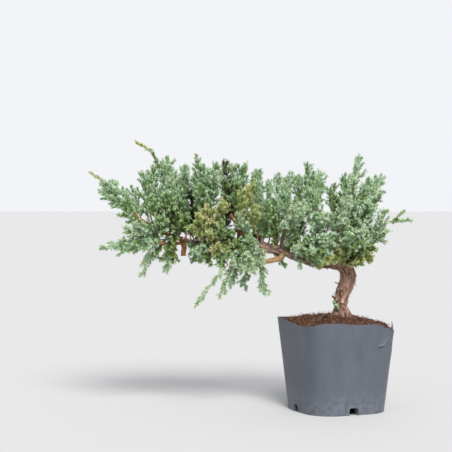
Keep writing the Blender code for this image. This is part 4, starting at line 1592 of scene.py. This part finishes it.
# Fill-in plumes by zone: foot and tip as x, y, z and the width, in millimetres, and the tone.
FILL = {
    "far_left": [
        (-250, -6, 243, -300, -20, 280, 12, BLUE), (-250, -6, 243, -287, 10, 291, 11, BLUE),
        (-243, -4, 239, -274, -25, 249, 10, GREEN), (-247, -4, 240, -262, 15, 284, 11, BLUE),
        (-274, -8, 268, -293, -10, 291, 6, BLUE), (-292, -10, 289, -312, -10, 301, 2.8, STRAW),
    ],
    "left": [
        (-230, 0, 230, -233, 20, 312, 14, BLUE), (-214, 3, 223, -203, 0, 303, 12, BLUE),
        (-205, 3, 221, -192, -15, 311, 13, BLUE), (-224, 0, 227, -232, -35, 273, 13, GREEN),
        (-201, 3, 218, -207, -35, 261, 14, OLIVE), (-211, 3, 222, -222, 30, 319, 12, BLUE),
        (-222, 30, 301, -238, 26, 332, 6, GREEN), (-237, 26, 330, -257, 24, 343, 2.6, STRAW),
        (-214, 3, 222, -208, -10, 294, 14, PALE),
    ],
    "lower_left": [
        (-246, -16, 215, -298, -20, 204, 10, BLUE), (-230, -12, 216, -265, -40, 232, 14, PALE),
        (-223, -12, 216, -249, -45, 240, 14, BLUE), (-236, -16, 215, -261, -35, 203, 12, BLUE),
        (-217, -12, 214, -235, -25, 194, 11, GREEN), (-204, -10, 214, -207, -30, 189, 11, OLIVE),
        (-201, -6, 212, -223, -10, 190, 11, OLIVE), (-191, 0, 212, -166, -30, 204, 7, PALE),
        (-234, -3, 226, -238, -45, 205, 12, BLUE),
    ],
    # The fill at the back gets the darkest tones: painted shade.
    "back": [
        (-180, 10, 212, -193, 60, 262, 15, DARK_OLD_AND_SHADE), (-190, 10, 213, -199, 50, 274, 13, DARK_OLD_AND_SHADE),
        (-176, 10, 212, -185, 50, 280, 13, DARK_OLD_AND_SHADE), (-145, 10, 212, -137, 60, 287, 14, DEEP_OLD_AND_SHADE),
        (-116, 10, 208, -124, 60, 280, 14, DEEP_OLD_AND_SHADE), (-107, 10, 208, -93, 45, 238, 13, DEEP_OLD_AND_SHADE),
    ],
    "inner": [
        (-164, 0, 248, -169, -15, 311, 14, BLUE), (-163, 0, 239, -156, -20, 304, 14, BLUE),
        (-164, 0, 229, -172, -30, 286, 14, GREEN), (-158, 0, 218, -144, -45, 266, 14, YELLOW),
        (-167, 0, 215, -183, -40, 233, 12, YELLOW), (-158, 0, 221, -165, -50, 258, 14, YELLOW),
        (-155, 0, 216, -145, -55, 239, 13, OLIVE),
    ],
    "middle": [
        (-128, 20, 248, -132, 30, 312, 14, BLUE), (-126, 10, 235, -125, -10, 292, 14, GREEN),
        (-122, -10, 229, -105, -20, 288, 14, YELLOW), (-116, -10, 219, -100, -35, 258, 12, YELLOW),
        (-112, -10, 212, -126, -40, 250, 11, PALE), (-94, 0, 207, -101, 30, 306, 14, BLUE),
        (-94, 0, 207, -86, 10, 292, 13, BLUE), (-127, 10, 239, -145, 0, 292, 13, DEEP_OLD_AND_SHADE),
    ],
    "limb_left": [
        (-67, -15, 221, -59, -10, 302, 14, BLUE), (-50, 10, 216, -48, 10, 299, 14, BLUE),
        (-48, 5, 216, -37, -25, 282, 15, BLUE), (-59, 0, 199, -54, -35, 235, 12, GREEN),
        (-75, 0, 204, -77, -20, 251, 14, GREEN), (-43, 20, 239, -27, 30, 303, 12, BLUE),
        (-59, 0, 203, -68, -35, 260, 14, PALE),
    ],
    "limb_right": [
        (-31, -10, 216, -16, 30, 290, 14, BLUE), (-30, -10, 229, -44, -35, 263, 14, PALE),
        (-31, -6, 203, -22, -55, 223, 14, BLUE), (-36, 0, 193, -44, -40, 217, 13, GREEN),
        (-23, 2, 189, -10, -50, 213, 14, PALE), (-26, -5, 197, -28, -30, 249, 14, GREEN),
        (-14, 4, 188, -13, 0, 241, 14, DEEP_OLD_AND_SHADE), (-48, -10, 195, -46, -25, 180, 6, PALE),
        (-20, 0, 188, -36, -40, 202, 11, OLIVE),
    ],
    "crown": [
        (14, 12, 208, 7, 20, 276, 15, GREEN), (17, 16, 222, 23, -20, 294, 15, PALE),
        (22, 20, 239, 45, 20, 295, 15, BLUE), (25, 10, 216, 56, -10, 279, 14, BLUE),
        (38, 2, 207, 65, -20, 228, 14, PALE), (31, 2, 200, 43, -35, 209, 12, OLIVE),
        (11, 0, 197, 16, -55, 220, 14, GREEN), (3, -20, 201, -6, -55, 224, 14, BLUE),
    ],
    "crown_low": [
        (2, -10, 193, -28, -35, 200, 11, YELLOW), (16, 5, 188, 31, -30, 192, 9, YELLOW),
        (11, 0, 193, 36, -40, 227, 14, BLUE), (7, -20, 204, 7, -45, 248, 15, PALE),
        (22, 20, 231, 42, -35, 260, 15, BLUE), (3, 0, 193, -10, -30, 207, 11, YELLOW),
        (20, 20, 215, 35, 40, 261, 15, DEEP_OLD_AND_SHADE), (2, 20, 209, -4, 40, 270, 13, GREEN),
    ],
    "below": [
        (-154, 0, 212, -164, -35, 189, 12, OLIVE), (-137, 0, 211, -146, -40, 183, 13, GREEN),
        (-125, -4, 208, -131, -45, 187, 13, PALE), (-127, -20, 196, -149, -35, 144, 8, PALE),
        (-122, -10, 203, -134, -20, 156, 8, BLUE), (-110, -3, 207, -95, -45, 187, 11, PALE),
        (-99, -3, 206, -120, -50, 195, 12, BLUE), (-171, 0, 212, -174, -30, 197, 11, GREEN),
        (-116, 0, 208, -141, -45, 197, 12, OLIVE), (-78, 0, 203, -66, -15, 183, 7, OLIVE),
    ],
    "limb_front": [
        (-186, 0, 213, -172, -30, 189, 12, OLIVE), (-167, 0, 212, -145, -40, 194, 12, GREEN),
        (-158, 0, 213, -177, -45, 203, 11, BLUE), (-141, 0, 212, -119, -45, 207, 12, OLIVE),
        (-132, 0, 211, -156, -50, 205, 12, YELLOW), (-112, 0, 208, -95, -40, 203, 10, PALE),
        (-122, 0, 211, -108, -40, 219, 11, GREEN), (-145, 0, 212, -131, -40, 227, 11, OLIVE),
        (-154, 0, 212, -163, -50, 227, 11, YELLOW), (-122, 0, 208, -115, -40, 182, 13, PALE),
    ],
    "crown_front": [
        (11, 0, 188, -1, -40, 208, 12, YELLOW), (18, 0, 190, 17, -50, 207, 12, OLIVE),
        (-1, 0, 188, -22, -45, 208, 13, OLIVE), (20, 0, 188, 41, -35, 197, 10, YELLOW),
        (12, -5, 188, -11, -40, 196, 11, YELLOW), (18, 0, 188, 29, -50, 212, 13, OLIVE),
        (-18, 0, 188, -35, -50, 208, 13, BLUE), (-46, 0, 194, -53, -40, 209, 11, PALE),
        (-33, 0, 192, -23, -25, 181, 7, YELLOW), (11, 0, 188, 24, -30, 189, 8, YELLOW),
    ],
    "left_front": [
        (-224, 0, 226, -236, -40, 212, 13, BLUE), (-237, 0, 234, -255, -45, 227, 13, PALE),
        (-209, 0, 221, -214, -40, 204, 12, OLIVE), (-236, -16, 215, -275, -40, 213, 12, PALE),
        (-201, 0, 218, -190, -40, 247, 12, OLIVE), (-218, 0, 225, -224, -45, 244, 13, GREEN),
    ],
    "details": [
        (6, 6, 125, -3, 0, 136, 4, PALE), (-172, 0, 297, -179, -10, 324, 3.5, STRAW),
        (71, 2, 237, 87, 4, 253, 2.5, GREEN),
    ],
}

# %% Leaf every spray
STEM_SIDES = 5
NEEDLE_STEP, NEEDLE_LENGTH, NEEDLE_TURN, NEEDLE_VARIATION = 0.00145, 0.0046, 1.05, 0.2


def line_mesh(plumes):
    """The plumes' shoots as a mesh of lines with size and tone on their points."""
    points, edges, sizes, tones = [], [], [], []
    for plume in plumes:
        for line, line_sizes, line_tones in plume.shoots:
            edges += [(len(points) + i, len(points) + i + 1) for i in range(len(line) - 1)]
            points += line
            sizes += line_sizes
            tones += line_tones
    mesh = bpy.data.meshes.new("shoot_lines")
    mesh.from_pydata(points, edges, [])
    mesh.attributes.new("size", "FLOAT", "POINT").data.foreach_set("value", sizes)
    mesh.attributes.new("tone", "FLOAT", "POINT").data.foreach_set("value", tones)
    return mesh


def stem_mesh(plumes):
    """Thin closed stems, mapped to the palette's brown end."""
    bm = bmesh.new()
    tones = []
    for plume in plumes:
        for line, thick, thin in plume.stems:
            last = len(line) - 1
            radii = [thick + (thin - thick) * i / last for i in range(last + 1)]
            add_skin(bm, tube_rings(line, radii, STEM_SIDES))
            own = STRAW if plume.tone == STRAW else STEM
            tones += [own] * (STEM_SIDES * (last + 1) + 2)  # a skin adds a point to each end
    mesh = plain_mesh("shoot_stems", bm)
    count = len(mesh.vertices)
    for name, values in (
        ("tone", tones),
        ("along", [(i * 37 % 100) / 100 for i in range(count)]),
        ("across", [(i * 61 % 100) / 50 - 1 for i in range(count)]),
    ):
        mesh.attributes.new(name, "FLOAT", "POINT").data.foreach_set("value", values)
    return mesh


def leaf_plumes(name, plumes, seed, replaced=()):
    """A piece of foliage: the plumes' shoots leafed and their stems."""
    lines = put("shoot_lines", line_mesh(plumes))
    stems = put("shoot_stems", stem_mesh(plumes))
    mesh = grown_mesh(name, lines, leafing, {
        "Whorl": whorl, "Stems": stems, "Step": NEEDLE_STEP, "Needle Length": NEEDLE_LENGTH,
        "Turn per Step": NEEDLE_TURN, "Variation": NEEDLE_VARIATION, "Seed": seed,
        "Finish": foliage_finish,
    })
    remove_helpers(lines, stems)
    return place_mesh(name, mesh, replaced, smooth=False)


foliage_pieces = []
for number, node in enumerate(sprays):
    zone, place = node.removeprefix("foliage_").rsplit("_", 1)
    tone, width, reach = PLUMES[zone][int(place) - 1]
    base, tip = spray_ends(node)
    plume = Plume(base, base.lerp(tip, reach), width, tone, 100 + number)
    piece = leaf_plumes(node.replace("foliage", "plume"), [plume], number, [node])
    foliage_pieces.append(piece)
for number, (zone, rows) in enumerate(FILL.items()):
    plumes = [
        Plume(
            Vector(ends[:3]) / 1000, Vector(ends[3:]) / 1000, width / 1000, tone, 1000 * number + i
        )
        for i, (*ends, width, tone) in enumerate(rows)
    ]
    foliage_pieces.append(leaf_plumes("fill_" + zone, plumes, 50 + number))
faces = [len(obj.data.polygons) for obj in foliage_pieces]
print("foliage faces:", sum(faces), "largest piece:", max(faces))

# %% Finish
remove_helpers(crumb, chip, fibre, curly_fibre, whorl)
